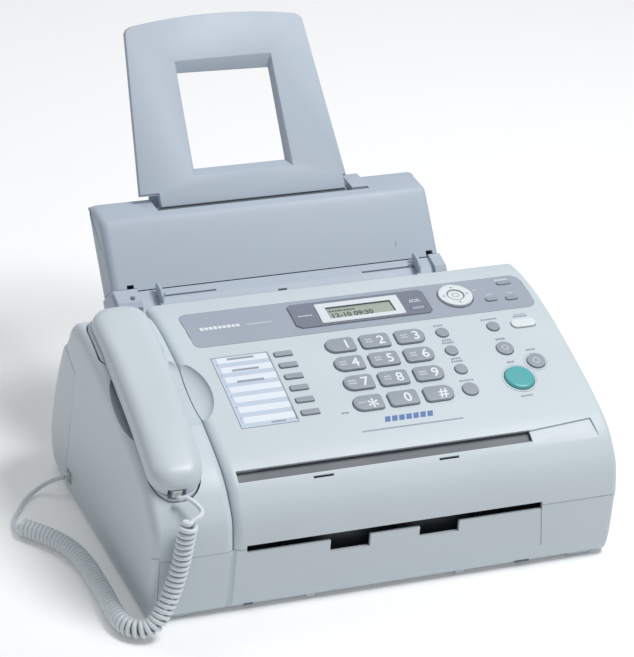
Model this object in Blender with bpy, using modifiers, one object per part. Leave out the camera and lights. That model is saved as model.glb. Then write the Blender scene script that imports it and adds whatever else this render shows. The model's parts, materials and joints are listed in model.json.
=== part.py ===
"""Laser fax machine with a corded handset: casing shells, tray, handset, keys, rollers and cord."""

import math

import bmesh
import bpy
import numpy as np
from mathutils import Matrix, Vector

# ---------------------------------------------------------------- driving dimensions (millimetres)
MM = 0.001
SHIFT_X = 0.75  # moves the drawing frame onto the centre of the outline
SHIFT_Y = -68.53
SHIFT_Z = 4.0  # the feet stand 4 mm under the case
GAP = 0.3  # between touching pieces

CASE_LEFT = -215.0
CASE_RIGHT = 213.5
CRADLE_RIGHT = -143.7  # inner edge of the handset cradle
COVER_LEFT = -142.9
PANEL_LEFT = -209.0  # inner edge of the left side panel, which belongs to the cradle
SEAM_Z = 58.8
CASE_FRONT = -155.2
WALL = 3.0
COVER_REAR = 88.5
HINGE_Y, HINGE_Z = 86.0, 157.0  # top cover hinge line

# side outline of the control panel and of the cradle: (depth, height)
PANEL_Y = (-154.5, -153.5, -151, -147, -140, -130, -117, -100, -77, -50, -22, 0, 33, 50, 70, 88.5)
PANEL_Z = (SEAM_Z, 74, 84, 91.5, 100, 109.5, 117.5, 124.5, 132.5, 140.5, 148, 153.5, 159.3, 161, 161.5, 160)

# paper tray: a plane that leans back from P0 along UP, depth measured along BACK
TRAY_Y, TRAY_Z = 120.0, 165.0
LEAN = math.radians(41.2)
TRAY_LEFT, TRAY_RIGHT = -163.5, 152.0

# handset frame: s runs up the cradle, t stands off it
HAND_X, HAND_Y, HAND_Z = -182.0, -29.0, 147.0
HAND_SLOPE = math.atan2(0.277, 0.961)
HAND_FRONT, HAND_REAR = -114.5, 103.0
HAND_HALF = 25.6
JACK_X = -190.0

KEY_CLEAR = 0.45
KEY_DEPTH = 4.6

WIRE = 3.6
COIL_D = 16.0

# ---------------------------------------------------------------- scene
for old in list(bpy.data.objects):
    bpy.data.objects.remove(old, do_unlink=True)

PARTS = bpy.data.collections.new("fax_machine")
CUTTERS = bpy.data.collections.new("cutters")
bpy.context.scene.collection.children.link(PARTS)
bpy.context.scene.collection.children.link(CUTTERS)


def material(name, color, roughness=0.5, metallic=0.0):
    made = bpy.data.materials.get(name)
    if made:
        return made
    made = bpy.data.materials.new(name)
    made.use_nodes = True
    shader = made.node_tree.nodes["Principled BSDF"]
    shader.inputs["Base Color"].default_value = (*color, 1.0)
    shader.inputs["Roughness"].default_value = roughness
    shader.inputs["Metallic"].default_value = metallic
    return made


CASE = material("case_plastic", (0.72, 0.76, 0.79), 0.5)
LOWER = material("lower_case_plastic", (0.68, 0.72, 0.75), 0.5)
TRAY = material("tray_plastic", (0.45, 0.50, 0.57), 0.5)
BAND = material("band_plastic", (0.40, 0.44, 0.52), 0.4)
WINDOW = material("window_plastic", (0.22, 0.24, 0.28), 0.35)
GLASS = material("lcd_glass", (0.42, 0.47, 0.38), 0.15)
CARD = material("card_stock", (0.85, 0.88, 0.93), 0.4)
KEY = material("key_plastic", (0.42, 0.46, 0.52), 0.4)
WHITE_KEY = material("pale_key_plastic", (0.75, 0.79, 0.81), 0.35)
TEAL = material("start_key_plastic", (0.14, 0.46, 0.48), 0.35)
HANDSET = material("handset_plastic", (0.74, 0.79, 0.82), 0.4)
CORD = material("cord_plastic", (0.70, 0.72, 0.74), 0.45)
PLUG = material("clear_plug_plastic", (0.72, 0.75, 0.76), 0.2)
DARK = material("dark_plastic", (0.05, 0.055, 0.06), 0.5)
RUBBER = material("roller_rubber", (0.06, 0.06, 0.065), 0.8)
BOARD = material("board_laminate", (0.04, 0.20, 0.10), 0.45)


def point(x, y, z):
    return Vector(((x + SHIFT_X) * MM, (y + SHIFT_Y) * MM, (z + SHIFT_Z) * MM))


def link(name, mesh, made_of, cutter=False):
    obj = bpy.data.objects.new(name, mesh)
    if cutter:
        CUTTERS.objects.link(obj)
        obj.hide_render = True
        obj.display_type = "WIRE"
    else:
        PARTS.objects.link(obj)
        mesh.materials.clear()
        mesh.materials.append(made_of)
    return obj


def mesh_from(name, bm):
    bmesh.ops.recalc_face_normals(bm, faces=bm.faces)
    mesh = bpy.data.meshes.new(name)
    bm.to_mesh(mesh)
    bm.free()
    return mesh


def smooth(obj, angle=35):
    obj.data.shade_smooth()
    obj.data.set_sharp_from_angle(angle=math.radians(angle))
    return obj


def boolean(obj, other, operation="DIFFERENCE", solver="EXACT"):
    modifier = obj.modifiers.new(operation.lower(), "BOOLEAN")
    modifier.operation = operation
    modifier.solver = solver
    modifier.object = other
    return modifier


def bevel(obj, width, segments=2, angle=40):
    modifier = obj.modifiers.new("round", "BEVEL")
    modifier.width = width * MM
    modifier.segments = segments
    modifier.limit_method = "ANGLE"
    modifier.angle_limit = math.radians(angle)
    modifier.use_clamp_overlap = True
    return modifier


def add_box(bm, low, high):
    """A box between two corners given in the drawing frame."""
    a, b = point(*low), point(*high)
    size = Matrix.Diagonal((b.x - a.x, b.y - a.y, b.z - a.z, 1.0))
    bmesh.ops.create_cube(bm, size=1.0, matrix=Matrix.Translation((a + b) / 2) @ size)


def add_outline(bm, outline, frame, low, high):
    """A flat outline extruded between two heights of a frame."""
    verts = [bm.verts.new(frame @ Vector((x * MM, y * MM, low * MM))) for x, y in outline]
    face = bm.faces.new(verts)
    grown = bmesh.ops.extrude_face_region(bm, geom=[face])
    moved = [v for v in grown["geom"] if isinstance(v, bmesh.types.BMVert)]
    lift = frame.to_3x3() @ Vector((0, 0, (high - low) * MM))
    bmesh.ops.translate(bm, verts=moved, vec=lift)


def add_profile(bm, profile, x0, x1):
    """A (depth, height) outline extruded across the machine."""
    verts = [bm.verts.new(point(x0, y, z)) for y, z in profile]
    face = bm.faces.new(verts)
    grown = bmesh.ops.extrude_face_region(bm, geom=[face])
    moved = [v for v in grown["geom"] if isinstance(v, bmesh.types.BMVert)]
    bmesh.ops.translate(bm, verts=moved, vec=Vector(((x1 - x0) * MM, 0, 0)))


def panel_z(y):
    return float(np.interp(y, PANEL_Y, PANEL_Z))


def panel_slope(y, reach=8.0):
    return (panel_z(y + reach) - panel_z(y - reach)) / (2 * reach)


def panel_frame(x, y, lift=0.0):
    """Local frame on the panel: X across, Y up the slope, Z out of the surface."""
    slope = panel_slope(y)
    across = Vector((1, 0, 0))
    up = Vector((0, 1, slope)).normalized()
    out = across.cross(up)
    frame = Matrix((across, up, out)).transposed().to_4x4()
    frame.translation = point(x, y, panel_z(y)) + out * lift * MM
    return frame


def rounded(width, height, radius, steps=3):
    """Rounded rectangle outline, anticlockwise."""
    radius = min(radius, width / 2 - 1e-3, height / 2 - 1e-3)
    found = []
    for cx, cy, start in (
        (width / 2 - radius, height / 2 - radius, 0),
        (radius - width / 2, height / 2 - radius, 90),
        (radius - width / 2, radius - height / 2, 180),
        (width / 2 - radius, radius - height / 2, 270),
    ):
        for i in range(steps + 1):
            a = math.radians(start + 90 * i / steps)
            found.append((cx + radius * math.cos(a), cy + radius * math.sin(a)))
    return found


def circle(radius, count=16):
    return [(radius * math.cos(2 * math.pi * i / count), radius * math.sin(2 * math.pi * i / count)) for i in range(count)]


def grow(outline, by):
    """Outline offset outwards by its vertex normals."""
    found = []
    count = len(outline)
    for i in range(count):
        a, b, c = outline[i - 1], outline[i], outline[(i + 1) % count]
        n1 = Vector((b[1] - a[1], a[0] - b[0])).normalized()
        n2 = Vector((c[1] - b[1], b[0] - c[0])).normalized()
        n = (n1 + n2).normalized()
        found.append((b[0] + n.x * by / max(0.5, n.dot(n1)), b[1] + n.y * by / max(0.5, n.dot(n1))))
    return found


def loft(name, rings, made_of):
    """Closed solid through rings of equal vertex count, each a list of points in metres."""
    bm = bmesh.new()
    rows = [[bm.verts.new(p) for p in ring] for ring in rings]
    count = len(rows[0])
    for a, b in zip(rows, rows[1:]):
        for i in range(count):
            j = (i + 1) % count
            bm.faces.new((a[i], a[j], b[j], b[i]))
    bm.faces.new(rows[0])
    bm.faces.new(list(reversed(rows[-1])))
    return link(name, mesh_from(name, bm), made_of)


def rounded_prism(name, profile, x0, x1, left, right, fixed, made_of, steps=2):
    """Profile extruded across the machine with rounded ends.

    left and right are (run, drop): how far the round runs along X and how far the outline shrinks.
    fixed maps a vertex index to the direction it shrinks in, where that isn't its own normal.
    """
    count = len(profile)
    area = sum(profile[i - 1][0] * profile[i][1] - profile[i][0] * profile[i - 1][1] for i in range(count))
    turn = 1 if area > 0 else -1
    inward = []
    for i in range(count):
        a, b, c = (Vector(profile[j % count]) for j in (i - 1, i, i + 1))
        n1 = Vector((-(b - a).y, (b - a).x)).normalized() * turn
        n2 = Vector((-(c - b).y, (c - b).x)).normalized() * turn
        n = (n1 + n2).normalized()
        inward.append(n / max(0.4, n.dot(n1)))
    for i, direction in fixed.items():
        inward[i] = Vector(direction)

    def ring(x, shrink):
        return [point(x, profile[i][0] + inward[i].x * shrink, profile[i][1] + inward[i].y * shrink) for i in range(count)]

    rings = []
    for i in range(steps + 1):
        a = math.radians(90 * i / steps)
        rings.append(ring(x0 + left[0] * (1 - math.cos(a)) if left[0] else x0, left[1] * (1 - math.sin(a))))
        if not left[0]:
            rings = [ring(x0, 0)]
            break
    for i in range(steps, -1, -1):
        if not right[0]:
            rings.append(ring(x1, 0))
            break
        a = math.radians(90 * i / steps)
        rings.append(ring(x1 - right[0] * (1 - math.cos(a)), right[1] * (1 - math.sin(a))))
    return loft(name, rings, made_of)


def turned(name, profile, center, made_of, steps=16):
    """A (radius, x) profile turned about a line across the machine; the object sits on that line."""
    mesh = bpy.data.meshes.new(name)
    bm = bmesh.new()
    verts = [bm.verts.new((r * MM, 0, h * MM)) for r, h in profile]
    for a, b in zip(verts, verts[1:]):
        bm.edges.new((a, b))
    bm.to_mesh(mesh)
    bm.free()
    obj = link(name, mesh, made_of)
    screw = obj.modifiers.new("turn", "SCREW")
    screw.axis = "Z"
    screw.steps = steps
    screw.render_steps = steps
    screw.use_merge_vertices = True
    screw.merge_threshold = 0.0000005
    screw.use_normal_calculate = False
    obj.location = point(*center)
    obj.rotation_euler = (0, math.radians(90), 0)
    return obj


def cutter(name, build):
    bm = bmesh.new()
    build(bm)
    return link(name, mesh_from(name, bm), None, cutter=True)


# ---------------------------------------------------------------- lower case
lower_profile = [(-150.0, 0.0), (-152.6, 5.0), (-154.3, 15.0), (-155.0, 30.0), (CASE_FRONT, SEAM_Z - GAP), (66.4, SEAM_Z - GAP), (73.4, 18.0), (75.6, 0.0)]
lower_case = rounded_prism(
    "lower_case", lower_profile, PANEL_LEFT + GAP, CASE_RIGHT, (0, 0), (6, 6),
    {0: (1, 0), 4: (1, 0), 5: (0, 0), 6: (0, 0), 7: (0, 0)}, LOWER, steps=2,
)


def lower_cuts(bm):
    add_profile(bm, [(-146.5, 3.0), (-151.2, 15.0), (-152.0, 30.0), (-152.0, 70.0), (62.0, 70.0), (70.4, 18.0), (72.0, 3.0)], PANEL_LEFT + 2.8, CASE_RIGHT - 3.2)


def front_cuts(bm):
    add_box(bm, (-131.8, -162, 55.2), (141.0, -140, 64))


def notch_cuts(bm):
    add_box(bm, (-56.0, -163, 44.0), (-19.5, -139, 61))
    add_box(bm, (26.0, -163, 45.4), (63.0, -139, 61))


def jack_cut(bm):
    add_box(bm, (-220, 57.0, 6.5), (-208, 69.5, 17.5))


def cord_recess(bm):
    add_box(bm, (-214, 55.5, 5.0), (-205, 71.0, 19.0))


def feet(bm):
    for x0, y0 in ((-197, -148), (176, -148), (-197, 48), (176, 48)):
        add_box(bm, (x0, y0, -4.0), (x0 + 22, y0 + 16, 1.5))
    for x0 in (-71.5, 68.0):
        add_box(bm, (x0, -149.4, -3.4), (x0 + 8, -143.5, 1.5))


boolean(lower_case, cutter("lower_feet", feet), "UNION")
boolean(lower_case, cutter("lower_hollow", lower_cuts))
boolean(lower_case, cutter("paper_exit_opening", front_cuts))
boolean(lower_case, cutter("front_notches", notch_cuts))
boolean(lower_case, cutter("handset_cord_recess", cord_recess))

# ---------------------------------------------------------------- rear cover
rear_profile = [
    (76.0, 0.2), (104.0, 0.2), (112.0, 4.0), (116.5, 12.0), (120.6, 28.0), (120.4, 45.0), (116.0, 69.0), (108.0, 98.0), (97.5, 126.0),
    (92.5, 130.6), (88.6, 130.6), (60.2, 118.4), (67.2, 57.0), (73.9, 18.0),
]
rear_cover = rounded_prism(
    "rear_cover", rear_profile, CASE_LEFT, CASE_RIGHT, (5, 5), (5, 5),
    {0: (0, 0), 9: (0, -1), 10: (0, -1), 11: (0, -0.4), 12: (0, 0), 13: (0, 0)}, CASE, steps=2,
)


def rear_hollow(bm):
    add_profile(
        bm,
        [(50.0, 5.0), (103.0, 3.4), (110.0, 7.0), (113.4, 13.0), (117.4, 28.0), (117.2, 45.0), (113.0, 68.0), (105.0, 97.0), (95.6, 122.0), (91.0, 127.2), (64.0, 116.0), (50.0, 110.0)],
        CASE_LEFT + 3.2, CASE_RIGHT - 3.2,
    )


def rear_sockets(bm):
    add_box(bm, (150, 112, 22), (178, 130, 42))  # mains inlet
    add_box(bm, (96, 110, 24), (109, 130, 36))  # line jack
    add_box(bm, (74, 110, 24), (87, 130, 36))  # telephone jack


boolean(rear_cover, cutter("rear_cover_hollow", rear_hollow))
boolean(rear_cover, cutter("rear_socket_openings", rear_sockets))

# ---------------------------------------------------------------- handset cradle
cradle_y = [-155.0, -154.2, -151.5, -147.0, -140.0, -130.0, -117.0, -100.0, -77.0, -50.0, -22.0, 0.0, 33.0, 55.0, 68.0, 78.0, 86.0]
cradle_z = [SEAM_Z, 74.0, 84.5, 91.5, 99.5, 108.8, 117.0, 124.2, 132.2, 140.3, 148.0, 153.6, 160.0, 162.5, 161.5, 158.0, 150.5]
cradle_profile = list(zip(cradle_y, cradle_z)) + [(91.0, 131.2), (88.4, 131.2), (59.9, 118.9), (66.4, SEAM_Z)]
cradle = rounded_prism(
    "handset_cradle", cradle_profile, CASE_LEFT, CRADLE_RIGHT, (8, 13), (5, 5),
    {0: (0.5, 0), 17: (-0.4, 0), 18: (0, 0), 19: (0, 0), 20: (0, 0)}, CASE, steps=3,
)


def hand_point(x, s, t):
    c, k = math.cos(HAND_SLOPE), math.sin(HAND_SLOPE)
    return point(x, HAND_Y + c * s - k * t, HAND_Z + k * s + c * t)


def hand_arc(s):
    return -0.4 - 0.00095 * (s + 20.0) ** 2


def hand_x(s):
    """Middle of the handset, which lies at a slight angle in its cradle."""
    return HAND_X - 0.6 + 0.042 * s


def ear_step(s):
    """0 along the grip, 1 at the ear end, where the earpiece stands proud of the grip."""
    u = max(0.0, min(1.0, (s - 34.0) / 12.0))
    return u * u * (3 - 2 * u)


def hand_seam(s):
    """Height of the seam between the two shells over the arc."""
    return 1.2 + 2.8 * ear_step(s)


def hand_half(s, front, rear, extra=0.0):
    """Half width with rounded ends."""
    half = HAND_HALF - 1.9 * max(0.0, min(1.0, -s / 100.0)) + extra
    inside = min(s - front, rear - s)
    if inside < 22.0:
        half = half - 19.0 + 19.0 * math.sqrt(max(0.0, 1 - ((22.0 - inside) / 22.0) ** 2))
    return half


def lower_extra(s):
    """The lower shell is narrower than the upper one along the grip and wider at the ear."""
    return -2.0 + 4.6 * ear_step(s)


def hand_depth(s):
    """How far the underside lies below the arc: deep at the ear and mouth ends, shallow at the grip."""
    ear = 1.0 / (1.0 + math.exp(-(s - 58.0) / 3.0))
    mouth = 1.0 / (1.0 + math.exp((s + 64.0) / 3.0))
    return 4.0 + 10.0 * max(ear, mouth)


def pocket(bm):
    """Space for the lower shell: its own outline grown by 1 mm, opened upwards."""
    front, rear = HAND_FRONT - 1.0, HAND_REAR + 1.0
    stations = [front, front + 1.2, front + 3.5, front + 7, front + 12, -94, -84, -74, -66, -58, -50, -30, 0, 26, 34, 38, 42, 46, 54, 64, 74, 84, 90, rear - 8, rear - 4, rear - 1.4, rear]
    rings = []
    for s in stations:
        w = hand_half(s, front, rear, lower_extra(s) + 1.0)
        x = hand_x(s)
        floor = hand_arc(s) - hand_depth(s) - 1.2
        rings.append([hand_point(x - w, s, 45), hand_point(x - w, s, floor + 3), hand_point(x - w + 3, s, floor), hand_point(x + w - 3, s, floor), hand_point(x + w, s, floor + 3), hand_point(x + w, s, 45)])
    rows = [[bm.verts.new(p) for p in ring] for ring in rings]
    for a, b in zip(rows, rows[1:]):
        for i in range(6):
            j = (i + 1) % 6
            bm.faces.new((a[i], a[j], b[j], b[i]))
    bm.faces.new(rows[0])
    bm.faces.new(list(reversed(rows[-1])))


def cradle_hollow(bm):
    top = [(y, z - 34.0) for y, z in zip(cradle_y, cradle_z) if -140 < y < 60]
    add_profile(bm, [(-151.5, 50.0), (-150.8, 66.0), (-146.0, 72.0)] + top + [(58.0, 122.0), (57.0, 114.0), (63.5, 50.0)], CASE_LEFT + 3.2, CRADLE_RIGHT - 3.0)


def scoop(name, x, y, rx, ry, rz):
    """Bowl sunk into the panel beside the handset."""
    place = Matrix.Translation(point(x, y, panel_z(y) + 1.0)) @ Matrix.Rotation(math.atan(panel_slope(y, 40)), 4, "X")
    size = Matrix.Diagonal((rx * MM, ry * MM, rz * MM, 1))
    return cutter(name, lambda bm: bmesh.ops.create_uvsphere(bm, u_segments=20, v_segments=10, radius=1.0, matrix=place @ size))


def hook_hole(bm):
    add_outline(bm, rounded(7.0, 12.0, 2.0, 2), hand_frame(HAND_X, 40.0, -40.0), 0.0, 60.0)


def hand_frame(x, s, t):
    c, k = math.cos(HAND_SLOPE), math.sin(HAND_SLOPE)
    frame = Matrix(((1, 0, 0), (0, c, -k), (0, k, c))).to_4x4()
    frame.translation = hand_point(x, s, t)
    return frame


scoop_left = scoop("scoop_left", -186.0, -46.0, 31.0, 52.0, 15.0)
scoop_right = scoop("scoop_right", -153.0, -35.0, 27.0, 39.0, 11.0)
side_profile = [(-150.0, 0.0), (-152.6, 5.0), (-154.3, 15.0), (-155.0, 30.0), (CASE_FRONT, SEAM_Z), (-155.0, 62.0), (40.0, 90.0), (62.8, 90.0), (66.3, SEAM_Z), (73.4, 18.0), (75.6, 0.0)]
side_panel = rounded_prism(
    "cradle_side_panel", side_profile, CASE_LEFT, PANEL_LEFT, (6, 6), (0, 0),
    {0: (1, 0), 5: (1, -0.3), 6: (0, 0), 7: (0, 0), 8: (0, 0), 9: (0, 0), 10: (0, 0)}, CASE, steps=3,
)
CUTTERS.objects.link(side_panel)
PARTS.objects.unlink(side_panel)
side_panel.hide_render = True
side_panel.display_type = "WIRE"
boolean(cradle, cutter("cradle_hollow", cradle_hollow))
boolean(cradle, side_panel, "UNION")
boolean(cradle, cutter("line_jack_recess", jack_cut))
boolean(cradle, cutter("handset_pocket", pocket))
boolean(cradle, scoop_left)
boolean(cradle, scoop_right)
boolean(cradle, cutter("hook_hole", hook_hole))

# ---------------------------------------------------------------- top cover
panel_y = list(PANEL_Y)
cover_profile = [(-154.9, SEAM_Z + 0.1)] + [(y, z) for y, z in list(zip(PANEL_Y, PANEL_Z))[1:]] + [(COVER_REAR, 131.6), (59.3, 119.2), (66.3, SEAM_Z + 0.1)]
last = len(cover_profile)
cover = rounded_prism(
    "top_cover", cover_profile, COVER_LEFT, CASE_RIGHT, (5, 5), (6, 6),
    {0: (0.6, 0), last - 4: (-0.3, -0.8), last - 3: (0, 0), last - 2: (0, 0), last - 1: (0, 0)}, CASE, steps=3,
)


def cover_hollow(bm):
    under = [(-151.6, 40.0), (-151.4, 74.0), (-148.4, 83.0), (-144.6, 89.5), (-137.8, 97.8), (-128.3, 106.7), (-115.7, 114.4), (-98.8, 121.5), (-76.2, 129.5), (-49.3, 137.5), (-21.3, 145.0), (0.7, 150.4), (33.4, 156.2), (50.0, 157.9), (70.0, 158.4), (85.6, 157.0)]
    add_profile(bm, under + [(85.6, 134.0), (56.0, 121.5), (58.0, 117.5), (80.0, 110.0), (80.0, 40.0)], -112.0, CASE_RIGHT - 3.0)


def cover_side_hollow(bm):
    add_profile(bm, [(-151.4, 40.0), (-151.2, 60.0), (-140.0, 86.0), (-100.0, 108.0), (-10.0, 136.0), (50.0, 146.0), (85.6, 146.0), (85.6, 134.0), (56.0, 121.5), (58.0, 117.5), (80.0, 110.0), (80.0, 40.0)], COVER_LEFT + 3.0, -111.0)


def exit_slot(bm):
    """Document exit: a slot through the panel with a shallow landing in front and at its right end."""
    frame = panel_frame(2.0, -126.4)
    add_outline(bm, rounded(271.0, 8.6, 0.4, 1), frame, -9.0, 12.0)


def exit_landing(bm):
    frame = panel_frame(170.0, -127.0)
    add_outline(bm, rounded(55.0, 21.0, 3.0, 2), frame, -1.3, 12.0)


def document_mouth(bm):
    add_box(bm, (-112, 80, 146.5), (112, 95, 156.6))


def front_relief(bm):
    add_box(bm, (-131.8, -160, 50), (141.0, -140, 62.0))


def grip_slits(bm):
    for x in (-58.2, 57.4):
        add_outline(bm, rounded(18.5, 2.0, 0.3, 1), panel_frame(x, -136.4), -6.0, 8.0)


KEYS = []  # (node, x, y, outline, rise, material)
DIGITS = ("1", "2", "3", "4", "5", "6", "7", "8", "9", "star", "0", "hash")
for i, label in enumerate(DIGITS):
    col, row = i % 3, i // 3
    KEYS.append((f"key_{label}", (4.3, 37.2, 70.6)[col], (-5.2, -27.5, -50.4, -73.6)[row], rounded(27.2, 16.4, 5.0 if col == 1 else 6.5, 3), 2.6, KEY))
for i in range(6):
    KEYS.append((f"one_touch_key_{i + 1}", -49.4 - 0.0 * i, (-6.0, -19.6, -33.1, -46.7, -60.5, -74.5)[i], rounded(16.6, 5.6, 1.2, 1), 1.8, KEY))
for name, x, y, r in (("flash_key", 102.0, -5.0, 5.7), ("redial_key", 101.8, -27.4, 5.7), ("mute_key", 101.6, -49.9, 5.7), ("speaker_key", 100.9, -73.2, 7.2)):
    KEYS.append((name, x, y, circle(r, 14), 1.8, KEY))
KEYS.append(("quick_scan_key", 151.4, -5.3, circle(5.7, 14), 1.8, KEY))
KEYS.append(("auto_answer_key", 180.8, -5.9, rounded(23.4, 10.0, 4.9, 3), 2.0, WHITE_KEY))
KEYS.append(("stop_key", 151.2, -32.8, circle(7.8, 14), 1.8, KEY))
KEYS.append(("copy_key", 173.2, -52.0, circle(8.2, 16), 1.8, KEY))
KEYS.append(("start_key", 150.3, -68.0, circle(13.6, 20), 2.6, TEAL))
KEYS.append(("navigation_ring", 134.2, 41.0, circle(15.8, 20), 2.4, WHITE_KEY))
KEYS.append(("display_key", 93.4, 30.8, rounded(13.0, 4.6, 1.0, 1), 1.6, KEY))
KEYS.append(("menu_key", 186.9, 52.4, rounded(13.4, 4.6, 2.0, 2), 1.6, KEY))
KEYS.append(("left_arrow_key", 165.2, 30.7, rounded(11.0, 5.2, 2.4, 2), 1.6, KEY))
KEYS.append(("right_arrow_key", 184.6, 29.2, rounded(11.0, 5.2, 2.4, 2), 1.6, KEY))


def key_holes(bm):
    for name, x, y, outline, rise, made_of in KEYS:
        add_outline(bm, grow(outline, KEY_CLEAR), panel_frame(x, y), -12.0, 8.0)


BAND_OUTLINE = [(-122.6, 20.0), (-121.0, 16.4), (-117.0, 14.6), (196.0, 14.6), (200.6, 16.6), (203.4, 21.0), (204.2, 54.0), (202.6, 60.4), (198.0, 64.2), (-116.0, 64.2), (-120.6, 62.0), (-122.8, 57.6)]


def plate_on_panel(bm, outline, low, high):
    """A plate that follows the panel: vertical outline cut from a sheet between two offsets of the panel line."""
    ys = [y for y in range(-100, 89, 4)]
    y_low, y_high = min(p[1] for p in outline), max(p[1] for p in outline)
    ys = [y_low - 5] + [y for y in ys if y_low - 4 < y < y_high + 4] + [y_high + 5]
    x_low, x_high = min(p[0] for p in outline) - 5, max(p[0] for p in outline) + 5
    lower = [(y, panel_z(y) + low) for y in ys]
    upper = [(y, panel_z(y) + high) for y in reversed(ys)]
    add_profile(bm, lower + upper, x_low, x_high)


def outline_block(bm, outline):
    frame = Matrix.Translation(point(0, 0, 0))
    add_outline(bm, outline, frame, 60.0, 230.0)


def make_plate(name, outline, low, high, made_of):
    sheet_bm = bmesh.new()
    plate_on_panel(sheet_bm, outline, low, high)
    plate = link(name, mesh_from(name, sheet_bm), made_of)
    boolean(plate, cutter(name + "_outline", lambda bm: outline_block(bm, outline)), "INTERSECT")
    return plate


def pocket_on_panel(name, outline, depth):
    """Cutter for the shallow recess that a plate lies in."""
    bm = bmesh.new()
    plate_on_panel(bm, outline, -depth, 20.0)
    recess = link(name, mesh_from(name, bm), None, cutter=True)
    boolean(recess, cutter(name + "_outline", lambda made: outline_block(made, grow(outline, GAP))), "INTERSECT")
    return recess


WINDOW_OUTLINE = [(-20.0, 22.8), (102.0, 22.8), (105.6, 26.4), (106.6, 53.6), (103.2, 57.4), (-19.6, 57.4), (-23.4, 53.8), (-24.6, 26.6)]
GLASS_OUTLINE = [(9.6, 29.8), (71.4, 29.8), (71.4, 45.6), (9.6, 45.6)]
CARD_OUTLINE = [(-114.4, -82.0), (-62.4, -82.0), (-62.4, -0.6), (-114.4, -0.6)]

boolean(cover, cutter("cover_hollow", cover_hollow))
boolean(cover, cutter("cover_side_hollow", cover_side_hollow))
boolean(cover, cutter("document_mouth", document_mouth))
boolean(cover, cutter("document_exit_slot", exit_slot))
boolean(cover, cutter("document_landing", exit_landing))
boolean(cover, cutter("front_relief", front_relief))
boolean(cover, cutter("grip_slits", grip_slits))
boolean(cover, pocket_on_panel("band_recess", BAND_OUTLINE, 1.1))
boolean(cover, pocket_on_panel("card_recess", CARD_OUTLINE, 0.9))
boolean(cover, scoop_right)
key_cutter = cutter("key_holes", key_holes)
boolean(cover, key_cutter)

band = make_plate("display_band", BAND_OUTLINE, -0.8, 0.3, BAND)
boolean(band, pocket_on_panel("window_recess", WINDOW_OUTLINE, 0.55))
boolean(band, key_cutter)
window = make_plate("display_window", WINDOW_OUTLINE, -0.25, 1.3, WINDOW)
boolean(window, pocket_on_panel("glass_recess", GLASS_OUTLINE, -0.35))
boolean(window, key_cutter)
glass = make_plate("lcd_glass", GLASS_OUTLINE, 0.65, 1.6, GLASS)
card = make_plate("directory_card", CARD_OUTLINE, -0.6, 0.4, CARD)


def make_key(name, x, y, outline, rise, made_of):
    bm = bmesh.new()
    add_outline(bm, outline, Matrix.Identity(4), -KEY_DEPTH, rise)
    key = link(name, mesh_from(name, bm), made_of)
    if name == "navigation_ring":
        hole_bm = bmesh.new()
        add_outline(hole_bm, circle(7.6, 16), panel_frame(x, y), -20.0, 20.0)
        boolean(key, link("navigation_ring_hole", mesh_from("navigation_ring_hole", hole_bm), None, cutter=True))
    key.matrix_world = panel_frame(x, y)
    return key


for spec in KEYS:
    make_key(*spec)
make_key("set_key", 134.2, 41.0, circle(7.1, 14), 2.0, WHITE_KEY)

# ---------------------------------------------------------------- paper tray
UP_Y, UP_Z = math.sin(LEAN), math.cos(LEAN)
BACK_Y, BACK_Z = math.cos(LEAN), -math.sin(LEAN)


def tray_yz(v, w):
    return (TRAY_Y + v * UP_Y + w * BACK_Y, TRAY_Z + v * UP_Z + w * BACK_Z)


def tray_point(x, v, w):
    return point(x, *tray_yz(v, w))


def tray_frame(x, v, w):
    """Local frame on the tray: X across, Y up the lean, Z towards the user."""
    frame = Matrix(((1, 0, 0), (0, UP_Y, -BACK_Y), (0, UP_Z, -BACK_Z))).to_4x4()
    frame.translation = tray_point(x, v, w)
    return frame


# base: block under the tray, shelf in front and a back plate behind the paper
base_profile = [(92.0, 132.2), (92.0, 148.0), (98.5, 152.6), (104.0, 156.8), tray_yz(-6.0, 0.0), tray_yz(-4.6, 27.9), tray_yz(-12.0, 28.0), (128.0, 132.0), (118.0, 124.5), (99.2, 124.5), (97.0, 132.2)]
tray_base = rounded_prism(
    "tray_base", base_profile, -165.6, 152.6, (3, 2), (3, 2),
    {0: (0, 0), 1: (0, 0), 9: (0, 0), 10: (0, 0)}, TRAY, steps=2,
)


def base_walls(bm):
    """Side blocks that stand up beside the shelf and hold the cover's pivots."""
    for x0, x1 in ((-164.2, -142.0), (140.0, 151.2)):
        add_profile(bm, [(93.5, 140.0), (93.5, 152.0), (100.0, 160.0), tray_yz(-3.6, -2.0), tray_yz(-3.6, 24.0), (132.0, 140.0)], x0, x1)


def back_plate(bm):
    """Plate behind the paper, as wide as the cover."""
    add_profile(bm, [tray_yz(-8.0, 25.2), tray_yz(75.0, 25.2), tray_yz(76.0, 26.6), tray_yz(75.0, 28.2), tray_yz(-8.0, 28.2)], TRAY_LEFT + 0.3, TRAY_RIGHT - 0.3)


def base_hollow(bm):
    add_profile(bm, [(96.0, 135.5), (96.0, 145.6), (104.0, 152.6), tray_yz(-9.5, 1.0), tray_yz(-9.4, 24.0), (123.5, 134.0), (116.5, 128.1), (102.4, 128.0)], -138.0, 136.0)


def paper_throat(bm):
    """Way from the tray down to the pick-up roller."""
    add_box(bm, (-96.0, 103.5, 118.0), (80.0, 113.0, 140.0))


def paper_slot(bm):
    """Slot in the shelf's floor behind the cover, where the sheets enter."""
    add_profile(bm, [tray_yz(-16.0, 3.6), tray_yz(2.0, 3.6), tray_yz(2.0, 14.0), tray_yz(-16.0, 14.0)], -106.0, 98.0)


def guide_tracks(bm):
    for x0, x1, y0 in ((-126.0, -70.0, 106.4), (71.0, 125.4, 106.4)):
        add_box(bm, (x0, y0, 145.0), (x1, y0 + 2.0, 175.0))


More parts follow.
